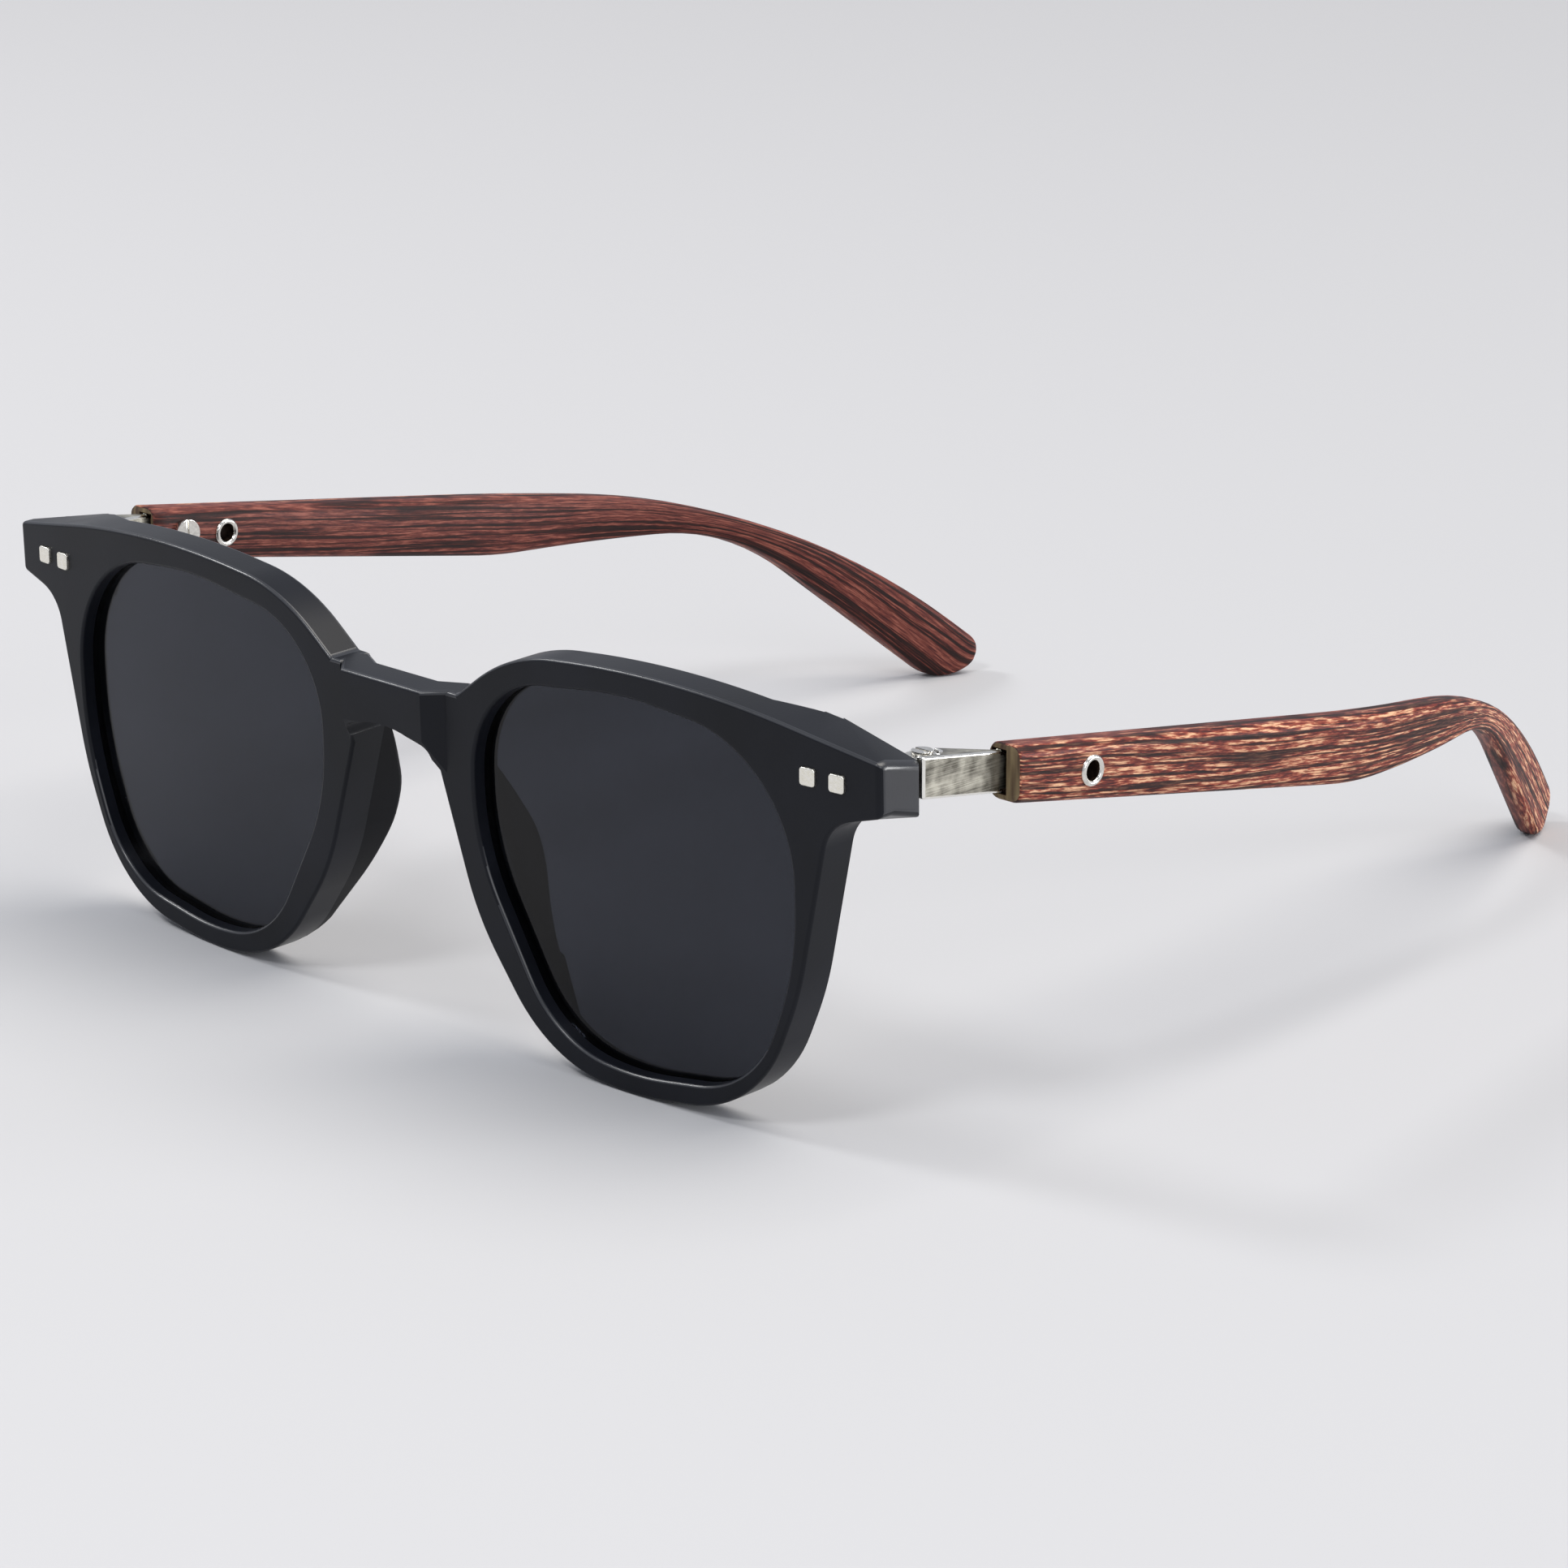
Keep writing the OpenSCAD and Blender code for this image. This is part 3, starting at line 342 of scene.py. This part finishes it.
FRONT_PLASTIC = moulded_matte_plastic("moulded_matte_plastic", "101217", "171920", 0.33, 0.17)
# a lighter, glossier copy of the front's plastic for the eased edges that face up and the endpieces' sides:
# a painted highlight
EDGE_HIGHLIGHT_PLASTIC = moulded_matte_plastic("plastic_edge_painted_highlight", "15171d", "1d2028", 0.3, 0.75)
PAD_PLASTIC = moulded_matte_plastic("moulded_pad_plastic", "0a0b0f", "0f1116", 0.42, 0.1)
LENS_TINT = smoke_polycarbonate()
RIVET_STEEL = polished_steel("polished_rivet_steel", "e2decf", 0.3)
HINGE_STEEL = polished_steel("satin_hinge_steel", "a9a7a2", 0.34)
BAR_STEEL = brushed_steel_bar()
BAR_BRIGHT = polished_steel("polished_bar_edge", "e8e6df", 0.16)
EYELET_NICKEL = polished_steel("polished_nickel", "c9c6bf", 0.14)
# a dark, brown-tinted copy of the nickel for the eyelet's bore: painted shade inside the hole
BORE_SHADE_NICKEL = polished_steel("bore_painted_shade", "2e231e", 0.5, "5a493e")
ROSEWOOD = streaked_rosewood()
END_GRAIN = sawn_end_grain("sawn_end_grain", "3f2a1e", "7b6a4c")
# a darker copy of the end grain for the faces cut for the tang's mouth and the eyelet's hole: painted shade
# in the recesses
RECESS_SHADE_GRAIN = sawn_end_grain("sawn_recess_painted_shade", "2a1813", "4a3122")


# Modelling helpers


def clear_selection():
    if bpy.context.mode != "OBJECT":
        bpy.ops.object.mode_set(mode="OBJECT")
    bpy.ops.object.select_all(action="DESELECT")


def work_on(piece):
    """Selects one piece alone and makes it active."""
    clear_selection()
    piece.select_set(True)
    bpy.context.view_layer.objects.active = piece


def edit(piece, select="SELECT", kind="VERT"):
    work_on(piece)
    bpy.ops.object.mode_set(mode="EDIT")
    bpy.ops.mesh.select_mode(type=kind)
    bpy.ops.mesh.select_all(action=select)


def apply_modifier(piece, kind, **settings):
    work_on(piece)
    change = piece.modifiers.new(kind.lower(), kind)
    for key, value in settings.items():
        setattr(change, key, value)
    bpy.ops.object.modifier_apply(modifier=change.name)


def smooth(piece, angle=32):
    """Smooth shading that keeps flat faces flat up to their rounded edges."""
    work_on(piece)
    bpy.ops.object.shade_smooth_by_angle(angle=math.radians(angle))
    apply_modifier(piece, "WEIGHTED_NORMAL", mode="FACE_AREA", weight=60, keep_sharp=True)


def finish_with(piece, *finishes):
    piece.data.materials.clear()
    for finish in finishes:
        piece.data.materials.append(finish)


def solid_copy(node, name, merge=MERGE):
    """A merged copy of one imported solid, with its flat faces in one piece each."""
    piece = bpy.data.objects.new(name, frame["nodes"][node].data.copy())
    bpy.context.scene.collection.objects.link(piece)
    work_on(piece)
    bpy.ops.mesh.customdata_custom_splitnormals_clear()
    edit(piece)
    bpy.ops.mesh.remove_doubles(threshold=merge * MM)
    bpy.ops.mesh.dissolve_limited(angle_limit=math.radians(FLAT))
    bpy.ops.object.mode_set(mode="OBJECT")
    return piece


def select_sharp(piece, sharp):
    """Selects a piece's edges that turn by more than the given degrees."""
    edit(piece, "DESELECT", "EDGE")
    bpy.ops.mesh.edges_select_sharp(sharpness=math.radians(sharp))
    bpy.ops.object.mode_set(mode="OBJECT")


def ease(piece, width, steps, wanted=None, sharp=SHARP, slot=-1):
    """Rounds the sharp edges whose ends wanted() accepts, given in millimetres."""
    select_sharp(piece, sharp)
    points = piece.data.vertices
    if wanted:
        for line in piece.data.edges:
            if line.select:
                a, b = (points[i].co / MM for i in line.vertices)
                line.select = wanted(a, b)
    bpy.ops.object.mode_set(mode="EDIT")
    bpy.ops.mesh.bevel(offset=width * MM, offset_type="OFFSET", segments=steps, profile=0.5,
                       affect="EDGES", clamp_overlap=False, loop_slide=True, material=slot,
                       miter_outer="SHARP", miter_inner="SHARP")
    bpy.ops.mesh.select_all(action="SELECT")
    bpy.ops.mesh.remove_doubles(threshold=WELD * MM)
    bpy.ops.mesh.dissolve_degenerate(threshold=WELD * MM)
    bpy.ops.object.mode_set(mode="OBJECT")


def ease_by_share(piece, width, share, slot=-1):
    """Rounds the sharp edges by share() of the width, which takes an edge and its ends in metres."""
    select_sharp(piece, SHARP)
    points = piece.data.vertices
    weight = piece.data.attributes.new("bevel_weight_edge", "FLOAT", "EDGE")
    for line in piece.data.edges:
        if line.select:
            weight.data[line.index].value = share(line, *(points[i].co for i in line.vertices))
    apply_modifier(piece, "BEVEL", limit_method="WEIGHT", offset_type="OFFSET", width=width * MM,
                   segments=BEVEL_STEPS, use_clamp_overlap=False, loop_slide=True, material=slot)


def stand_for(piece, body, slot, *nodes):
    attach(piece, body)
    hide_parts(*nodes)


def mirrored(piece, name):
    """The same piece on the wearer's right."""
    twin = bpy.data.objects.new(name, piece.data.copy())
    bpy.context.scene.collection.objects.link(twin)
    edit(twin)
    bpy.ops.transform.resize(value=(-1, 1, 1), center_override=(0, 0, 0))
    bpy.ops.mesh.flip_normals()
    bpy.ops.object.mode_set(mode="OBJECT")
    return twin


# Front


def on_front(place):
    """A point's width, depth behind the bowed front face, and height, in millimetres."""
    spot = Matrix.Rotation(-FRONT_LEAN, 3, "X") @ (place / MM - FRONT_SEAT)
    bow = FRONT_BOW_R - math.sqrt(FRONT_BOW_R ** 2 - spot.x ** 2)
    return Vector((abs(spot.x), spot.y - bow, spot.z))


def rivet_holes():
    """Low and high corners of the rivets' holes, with a little room."""
    room = Vector((0.3, 0.4, 0.3)) * MM
    boxes = [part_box(node) for node in frame["nodes"] if node.startswith("rivet_")]
    return [(low - room, high + room) for low, high in boxes]


def front_rim():
    piece = solid_copy("front_frame", "front_rim", FRONT_MERGE)
    finish_with(piece, FRONT_PLASTIC, EDGE_HIGHLIGHT_PLASTIC)
    holes = rivet_holes()
    pad_low, pad_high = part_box("nose_pad_left")
    walls = {key: face.normal.copy() for face in piece.data.polygons if abs(face.normal.y) < 0.5
             for key in face.edge_keys}

    def share(line, a, b):
        middle = (a + b) / 2
        here = on_front(middle)
        in_hole = any(low.x < middle.x < high.x and low.z < middle.z < high.z for low, high in holes)
        in_groove = GROOVE_FRONT < here.y < GROOVE_REAR and BRIDGE_HALF < here.x < ENDPIECE_IN
        # the nose wall runs on into the pad without a seam
        wall = walls.get(line.key)
        by_pad = here.y > GROOVE_REAR and pad_low.z < middle.z < pad_high.z and here.x < pad_high.x / MM
        at_pad = by_pad and wall and wall.x * middle.x < 0
        at_arch = here.x < BRIDGE_HALF and ARCH_LOW < here.z < ARCH_HIGH
        at_end = here.x > ENDPIECE_OUT - 0.3
        at_ramp = here.x > RAMP_IN and here.y > GROOVE_REAR and here.z < RAMP_HIGH and not at_end
        if in_hole or in_groove or at_pad or at_arch or at_ramp:
            return 0.0
        return 1.0 if at_end else RIM_EASE / ENDPIECE_EASE

    ease_by_share(piece, ENDPIECE_EASE, share, slot=1)
    # the endpieces' sides and the eased edges that face up take the lighter, glossier plastic: a painted
    # highlight where the light falls on them
    for face in piece.data.polygons:
        side_face = abs(face.normal.x) > 0.9 and on_front(face.center).x > ENDPIECE_OUT - 0.5
        eased = face.material_index == 1 and face.normal.z > 0.25
        face.material_index = 1 if side_face or eased else 0
    smooth(piece)
    stand_for(piece, "front", "front_plastic", "front_frame")


def nose_pad(side):
    piece = solid_copy("nose_pad_" + side, "nose_pad_" + side + "_skin", PAD_MERGE)
    finish_with(piece, PAD_PLASTIC)

    def share(line, a, b):
        # the rounding grows with the pad's height over the rim
        reach = min(on_front(a).y, on_front(b).y) - RIM_DEPTH
        return min(0.5 * (reach - PAD_FADE) / PAD_EASE, 1.0) if reach > PAD_START else 0.0

    ease_by_share(piece, PAD_EASE, share)
    smooth(piece, 40)
    stand_for(piece, "front", "pad_plastic", "nose_pad_" + side)


def rivet(side, place):
    node = "rivet_" + side + "_" + place
    piece = solid_copy(node, node + "_head")
    finish_with(piece, RIVET_STEEL)
    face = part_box(node)[0].y / MM + RIVET_FACE
    ease(piece, RIVET_EASE, 3, lambda a, b: max(a.y, b.y) < face)
    smooth(piece)
    stand_for(piece, "front", "rivet_metal", node)


def hinge_leaf(side):
    node = "hinge_leaf_" + side
    piece = solid_copy(node, node + "_plate")
    finish_with(piece, HINGE_STEEL)
    ease(piece, LEAF_EASE, 2, sharp=SHARP_HINGE)
    smooth(piece)
    stand_for(piece, "front", "hinge_metal", node)


def screw(node, body, slot):
    piece = solid_copy(node, node + "_slotted")
    finish_with(piece, EYELET_NICKEL)
    ease(piece, SCREW_EASE, 2, sharp=SHARP_HINGE)
    smooth(piece)
    stand_for(piece, body, slot, node)


def lens(side):
    finish_with(frame["nodes"]["lens_" + side], LENS_TINT)


# Temples


def temple_bar(side):
    node = "temple_bar_" + side
    piece = solid_copy(node, node + "_brushed")
    finish_with(piece, BAR_STEEL, BAR_BRIGHT)
    ease(piece, BAR_EASE, 3, lambda a, b: max(a.y, b.y) < WOOD_FRONT, sharp=SHARP_BAR, slot=1)
    smooth(piece)
    stand_for(piece, side + "_temple", "bar_metal", node)


def corner_arc(a, b, c, r, steps=14):
    """Points of the corner b between a and c, rounded by r."""
    back, ahead = (a - b).normalized(), (c - b).normalized()
    half = back.angle(ahead) / 2
    centre = b + (back + ahead).normalized() * (r / math.sin(half))
    start = b + back * (r / math.tan(half)) - centre
    stop = b + ahead * (r / math.tan(half)) - centre
    turn = start.angle_signed(stop)
    return [centre + Matrix.Rotation(-turn * i / steps, 2) @ start for i in range(steps + 1)]


def spread(chain, count):
    """Points at even steps along a chain, both ends included."""
    runs = [0.0]
    for a, b in zip(chain, chain[1:]):
        runs.append(runs[-1] + (b - a).length)
    points, j = [], 0
    for i in range(count + 1):
        want = runs[-1] * i / count
        while j < len(chain) - 2 and runs[j + 1] < want:
            j += 1
        part = (want - runs[j]) / max(runs[j + 1] - runs[j], 1e-9)
        points.append(chain[j].lerp(chain[j + 1], part))
    return points


def meet(p, a, q, b):
    """Where the line through p at slope angle a meets the line through q at b."""
    d, e = Vector((math.cos(a), math.sin(a))), Vector((math.cos(b), math.sin(b)))
    gap = q - p
    return p + d * ((gap.x * e.y - gap.y * e.x) / (d.x * e.y - d.y * e.x))


def wood_stations():
    """Top and bottom points of the board's sections in side view, from the hinge to the tip."""
    high = Vector((WOOD_FRONT, WOOD_MID + WOOD_TALL / 2))
    low = Vector((WOOD_FRONT, WOOD_MID - WOOD_TALL / 2))
    ahead = Vector((math.cos(TIP_DROP), -math.sin(TIP_DROP)))
    up = Vector((math.sin(TIP_DROP), math.cos(TIP_DROP)))
    tip_low = Vector((WOOD_FRONT + TIP_RUN, TIP_LOW_R)) + (ahead - up) * TIP_LOW_R
    tip_high = tip_low + up * TIP_WIDTH
    waist = low + Vector((WAIST_RUN, -WAIST_RUN * math.tan(BOTTOM_DROP)))
    ear_low = meet(waist, -WAIST_DROP, tip_low, -TIP_DROP)
    ear_top = meet(high, -TOP_DROP, tip_high, -TIP_DROP)
    end = tip_low + up * (TIP_LOW_R + (TIP_WIDTH - TIP_LOW_R - TIP_TOP_R) / 2)
    top_ear = corner_arc(high, ear_top, tip_high, EAR_TOP_R)
    top_tip = corner_arc(ear_top, tip_high, tip_low, TIP_TOP_R)
    low_waist = corner_arc(low, waist, ear_low, WAIST_R)
    low_ear = corner_arc(waist, ear_low, tip_low, EAR_LOW_R)
    low_tip = corner_arc(ear_low, tip_low, tip_high, TIP_LOW_R)
    half = len(top_ear) // 2
    tops = [[high] + top_ear[:half + 1], top_ear[half:] + top_tip[:1], top_tip + [end]]
    lows = [[low] + low_waist + low_ear[:half + 1], low_ear[half:] + low_tip[:1], low_tip + [end]]
    pairs = []
    for top, bottom, count in zip(tops, lows, (RUN_STEPS, EAR_STEPS, TIP_STEPS)):
        pairs += list(zip(spread(top, count), spread(bottom, count)))[1 if pairs else 0:]
    return pairs[:-1]


def plan_place(y):
    """Middle and half width of the board along X at one depth."""
    middle = WOOD_OUT - WOOD_THICK / 2
    bend_y = WOOD_FRONT + BEND_RUN
    if y <= bend_y:
        return middle, WOOD_THICK / 2
    end_y = bend_y + BEND_R * math.sin(BEND_ANGLE)
    turn = math.asin((y - bend_y) / BEND_R) if y < end_y else BEND_ANGLE
    x = middle - BEND_R * (1 - math.cos(turn)) - max(y - end_y, 0) * math.tan(BEND_ANGLE)
    thick = WOOD_THICK + (TIP_THICK - WOOD_THICK) * turn / BEND_ANGLE
    return x, thick / 2 / math.cos(turn)


def board_sections():
    """Top, bottom and the insets upward and across of each of the board's sections."""
    pairs = wood_stations()
    # the front end is eased by three close sections
    ahead = (pairs[1][0] - pairs[0][0]).normalized()
    eased = [(0.0, WOOD_END_EASE), (0.3 * WOOD_END_EASE, 0.3 * WOOD_END_EASE), (WOOD_END_EASE, 0.0)]
    first_top, first_bottom = pairs[0]
    sections = [(first_top + ahead * run, first_bottom + ahead * run, inset, inset)
                for run, inset in eased]
    tip_start = len(pairs) - TIP_STEPS
    for i, (top, bottom) in enumerate(pairs[1:], 1):
        part = max(i - tip_start, 0) / TIP_STEPS
        sections.append((top, bottom, 0.0, TIP_EASE * (1 - math.sqrt(1 - part * part))))
    return sections


def wooden_board():
    """A rounded board drawn out section by section, then set along the temple's run."""
    sections = board_sections()
    # the section starts as a square with sides from -1 to 1, whose corners take up half of each side
    corner = 0.5
    clear_selection()
    bpy.ops.mesh.primitive_plane_add(size=2, rotation=(math.pi / 2, 0, 0))
    board = bpy.context.object
    board.name = "temple_wood_left"
    bpy.ops.object.transform_apply(location=True, rotation=True, scale=True)
    edit(board)
    bpy.ops.mesh.bevel(offset=corner, offset_type="OFFSET", segments=5, profile=0.5, affect="VERTICES")
    bpy.ops.mesh.select_all(action="SELECT")
    for _ in sections[1:]:
        bpy.ops.mesh.extrude_region_move(TRANSFORM_OT_translate={"value": (0, 1, 0)})
    bpy.ops.mesh.select_all(action="SELECT")
    bpy.ops.mesh.normals_make_consistent(inside=False)
    bpy.ops.object.mode_set(mode="OBJECT")
    runs = [0.0]
    for (a, b, *_), (c, d, *_) in zip(sections, sections[1:]):
        runs.append(runs[-1] + ((c + d - a - b) / 2).length)
    # each point's run along the board, height and place across, for the grain
    places = []
    for point in board.data.vertices:
        i = round(point.co.y)
        top, bottom, inset_up, inset_across = sections[i]
        middle, line = (top + bottom) / 2, (top - bottom).normalized()
        half = (top - bottom).length / 2
        edge = min(WOOD_EDGE, half * 0.8)
        # how far the point lies inside the section's sides, by the rounding of the corners
        in_up, in_across = (edge * (1 - abs(v)) / corner for v in (point.co.z, point.co.x))
        up = math.copysign(half - inset_up - in_up, point.co.z)
        spot = middle + line * up
        x, wide = plan_place(spot.x)
        across = math.copysign(wide - inset_across - in_across, point.co.x)
        places.append((runs[i], up, across))
        point.co = Vector((x + across, spot.x, spot.y)) * MM
    board.data.uv_layers[0].name = "grain"
    board.data.uv_layers.new(name="layer")
    grain, layer = (board.data.uv_layers[name].data for name in ("grain", "layer"))
    for loop in board.data.loops:
        run, up, across = places[loop.vertex_index]
        grain[loop.index].uv = (run * MM, up * MM)
        layer[loop.index].uv = (across * MM, 0)
    finish_with(board, ROSEWOOD, END_GRAIN)
    for face in board.data.polygons:
        if face.normal.y < -0.9 and face.center.y / MM < WOOD_FRONT + 0.1:
            face.material_index = 1
    return board


def cut_from(board, cutter, finish):
    """Takes the cutter out of the board and leaves the cut faces in their own finish."""
    finish_with(cutter, finish)
    apply_modifier(board, "BOOLEAN", operation="DIFFERENCE", object=cutter, solver="EXACT",
                   material_mode="TRANSFER")
    bpy.data.objects.remove(cutter)


def wooden_temples():
    board = wooden_board()
    low, high = (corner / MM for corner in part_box("eyelet_left"))
    eye = (low + high) / 2
    clear_selection()
    bpy.ops.mesh.primitive_cylinder_add(vertices=HOLE_SIDES, radius=WOOD_HOLE_R * MM, depth=10 * MM,
                                        location=eye * MM, rotation=(0, math.pi / 2, 0))
    cut_from(board, bpy.context.object, RECESS_SHADE_GRAIN)
    clear_selection()
    tang_x = WOOD_OUT - WOOD_PROUD - TANG_THICK / 2
    bpy.ops.mesh.primitive_cube_add(size=1, location=Vector((tang_x, WOOD_FRONT, WOOD_MID)) * MM,
                                    rotation=(-MID_DROP, 0, 0),
                                    scale=Vector((MOUTH_WIDE, MOUTH_DEEP * 2, MOUTH_TALL)) * MM)
    cut_from(board, bpy.context.object, RECESS_SHADE_GRAIN)
    smooth(board, 40)
    twin = mirrored(board, "temple_wood_right")
    for piece, side in ((board, "left"), (twin, "right")):
        stand_for(piece, side + "_temple", "wood", "temple_" + side)


def eyelets():
    """A rolled nickel ring on each face of the wood, joined by its barrel."""
    low, high = (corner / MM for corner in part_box("eyelet_left"))
    middle, half = (low + high) / 2, (high.x - low.x) / 2
    flange = (high.y - low.y) / 2
    roll, rim, steps = (flange - BORE_R) / 2, half - EYELET_LIP, 8
    # half of the turned outline: radius and distance from the middle
    outline = [(BORE_R, 0.0), (BORE_R, half - EYELET_FLARE)]
    for i in range(1, steps + 1):
        turn = math.pi * i / steps
        outline.append((BORE_R + roll - roll * math.cos(turn), rim + EYELET_LIP * math.sin(turn)))
    outline += [(flange, rim), (BARREL_R, rim), (BARREL_R, 0.0)]
    rings = outline + [(r, -d) for r, d in reversed(outline)][1:]
    clear_selection()
    bpy.ops.mesh.primitive_circle_add(vertices=EYELET_SIDES, radius=BORE_R * MM, fill_type="NOTHING",
                                      location=middle * MM, rotation=(0, math.pi / 2, 0))
    ring = bpy.context.object
    ring.name = "eyelet_ring_left"
    bpy.ops.object.transform_apply(location=True, rotation=True, scale=True)
    edit(ring)
    at = Vector(middle)
    for (r, d), (wide, far) in zip(rings, rings[1:] + rings[:1]):
        step = far - d
        bpy.ops.mesh.extrude_region_move(TRANSFORM_OT_translate={"value": (step * MM, 0, 0)})
        at = at + Vector((step, 0, 0))
        bpy.ops.transform.resize(value=(1, wide / r, wide / r), center_override=at * MM)
    bpy.ops.mesh.select_all(action="SELECT")
    bpy.ops.mesh.remove_doubles(threshold=MERGE * MM)
    bpy.ops.mesh.normals_make_consistent(inside=False)
    bpy.ops.object.mode_set(mode="OBJECT")
    finish_with(ring, EYELET_NICKEL, BORE_SHADE_NICKEL)
    # the bore's faces take the dark nickel: painted shade
    for face in ring.data.polygons:
        across = face.center / MM - middle
        if math.hypot(across.y, across.z) < BORE_R + 0.01:
            face.material_index = 1
    smooth(ring, 40)
    twin = mirrored(ring, "eyelet_ring_right")
    for piece, side in ((ring, "left"), (twin, "right")):
        stand_for(piece, side + "_temple", "eyelet_metal", "eyelet_" + side)


# Stage


def camera():
    """The photograph's viewpoint, worked out from the object's own symmetry."""
    back = Vector(VIEW_BACK).normalized()
    right = Vector(VIEW_RIGHT).normalized()
    up = back.cross(right).normalized()
    right = up.cross(back)
    lens_data = bpy.data.cameras.new("viewpoint")
    lens_data.sensor_width = VIEW_SENSOR
    lens_data.lens = VIEW_LENS
    lens_data.clip_end = 50.0
    eye = bpy.data.objects.new("viewpoint", lens_data)
    bpy.context.scene.collection.objects.link(eye)
    place = Matrix((right, up, back)).transposed().to_4x4()
    place.translation = Vector(VIEW_PLACE) * MM
    eye.matrix_world = place
    bpy.context.scene.camera = eye


def softbox(name, place, aim, size, power):
    """A round lamp turned to its aim: places and size in metres, power in watts."""
    clear_selection()
    bpy.ops.object.light_add(type="AREA", location=place)
    lamp = bpy.context.object
    lamp.name = name
    lamp.data.shape = "DISK"
    lamp.data.size = size
    lamp.data.energy = power
    lamp.visible_camera = False
    lamp.rotation_mode = "QUATERNION"
    lamp.rotation_quaternion = (Vector(aim) - Vector(place)).to_track_quat("-Z", "Y")


def soft_sun(name, place, spread, power):
    """An even light from far off, shining from the given place to the middle: spread in degrees."""
    clear_selection()
    bpy.ops.object.light_add(type="SUN", location=place)
    lamp = bpy.context.object
    lamp.name = name
    lamp.data.angle = math.radians(spread)
    lamp.data.color = linear("fffaf2")[:3]
    lamp.data.energy = power
    lamp.rotation_mode = "QUATERNION"
    lamp.rotation_quaternion = (-Vector(place)).to_track_quat("-Z", "Y")


def studio():
    clear_selection()
    bpy.ops.mesh.primitive_plane_add(size=24, location=(0, 0, 0))
    floor = bpy.context.object
    floor.name = "studio_floor"
    finish, tree = new_finish("pale_floor")
    shader = add_node(tree, "BsdfPrincipled", {"Base Color": linear("c6c6c8"), "Roughness": 0.9,
                                               "Specular IOR Level": 0.1})
    finish_with(floor, close_finish(finish, tree, shader))
    soft_sun("overhead", (0.25, 0.35, 0.9), 50, 2.1)
    softbox("right_fill", (1.0, -0.3, 0.5), (0, 0, 0.02), 0.6, 2.0)
    softbox("left_edge_light", (-0.8, -0.35, 0.8), (0, 0, 0.03), 0.25, 3.5)
    softbox("front_edge_light", (0.1, -0.75, 0.95), (0, 0, 0.03), 0.25, 3.0)
    softbox("right_rear_light", (1.0, 0.95, 0.1), (0.07, -0.06, 0.03), 0.6, 11.0)
    sky = bpy.data.worlds.new("pale_room")
    sky.use_nodes = True
    sky.node_tree.nodes.clear()
    # the glow lights the room, and the backdrop is what the camera, metal and lenses see
    glow = add_node(sky.node_tree, "Background", {"Color": linear("dfe6f4"), "Strength": 0.45})
    backdrop = add_node(sky.node_tree, "Background", {"Color": linear("bcbfc7")})
    ray = add_node(sky.node_tree, "LightPath")
    clear = add_node(sky.node_tree, "Math", {0: (ray, "Is Glossy Ray"), 1: (ray, "Is Transmission Ray")},
                     operation="MAXIMUM")
    seen = add_node(sky.node_tree, "Math", {0: (ray, "Is Camera Ray"), 1: (clear, 0)},
                    operation="MAXIMUM")
    mix = add_node(sky.node_tree, "MixShader", {0: (seen, 0), 1: (glow, 0), 2: (backdrop, 0)})
    add_node(sky.node_tree, "OutputWorld", {"Surface": (mix, 0)})
    bpy.context.scene.world = sky
    bpy.context.scene.view_settings.view_transform = "Standard"


camera()
studio()
front_rim()
for side in SIDES:
    lens(side)
    nose_pad(side)
    rivet(side, "outer")
    rivet(side, "inner")
    hinge_leaf(side)
    screw("hinge_screw_" + side, "front", "hinge_metal")
    temple_bar(side)
    screw("tang_screw_" + side, side + "_temple", "eyelet_metal")
wooden_temples()
eyelets()
clear_selection()
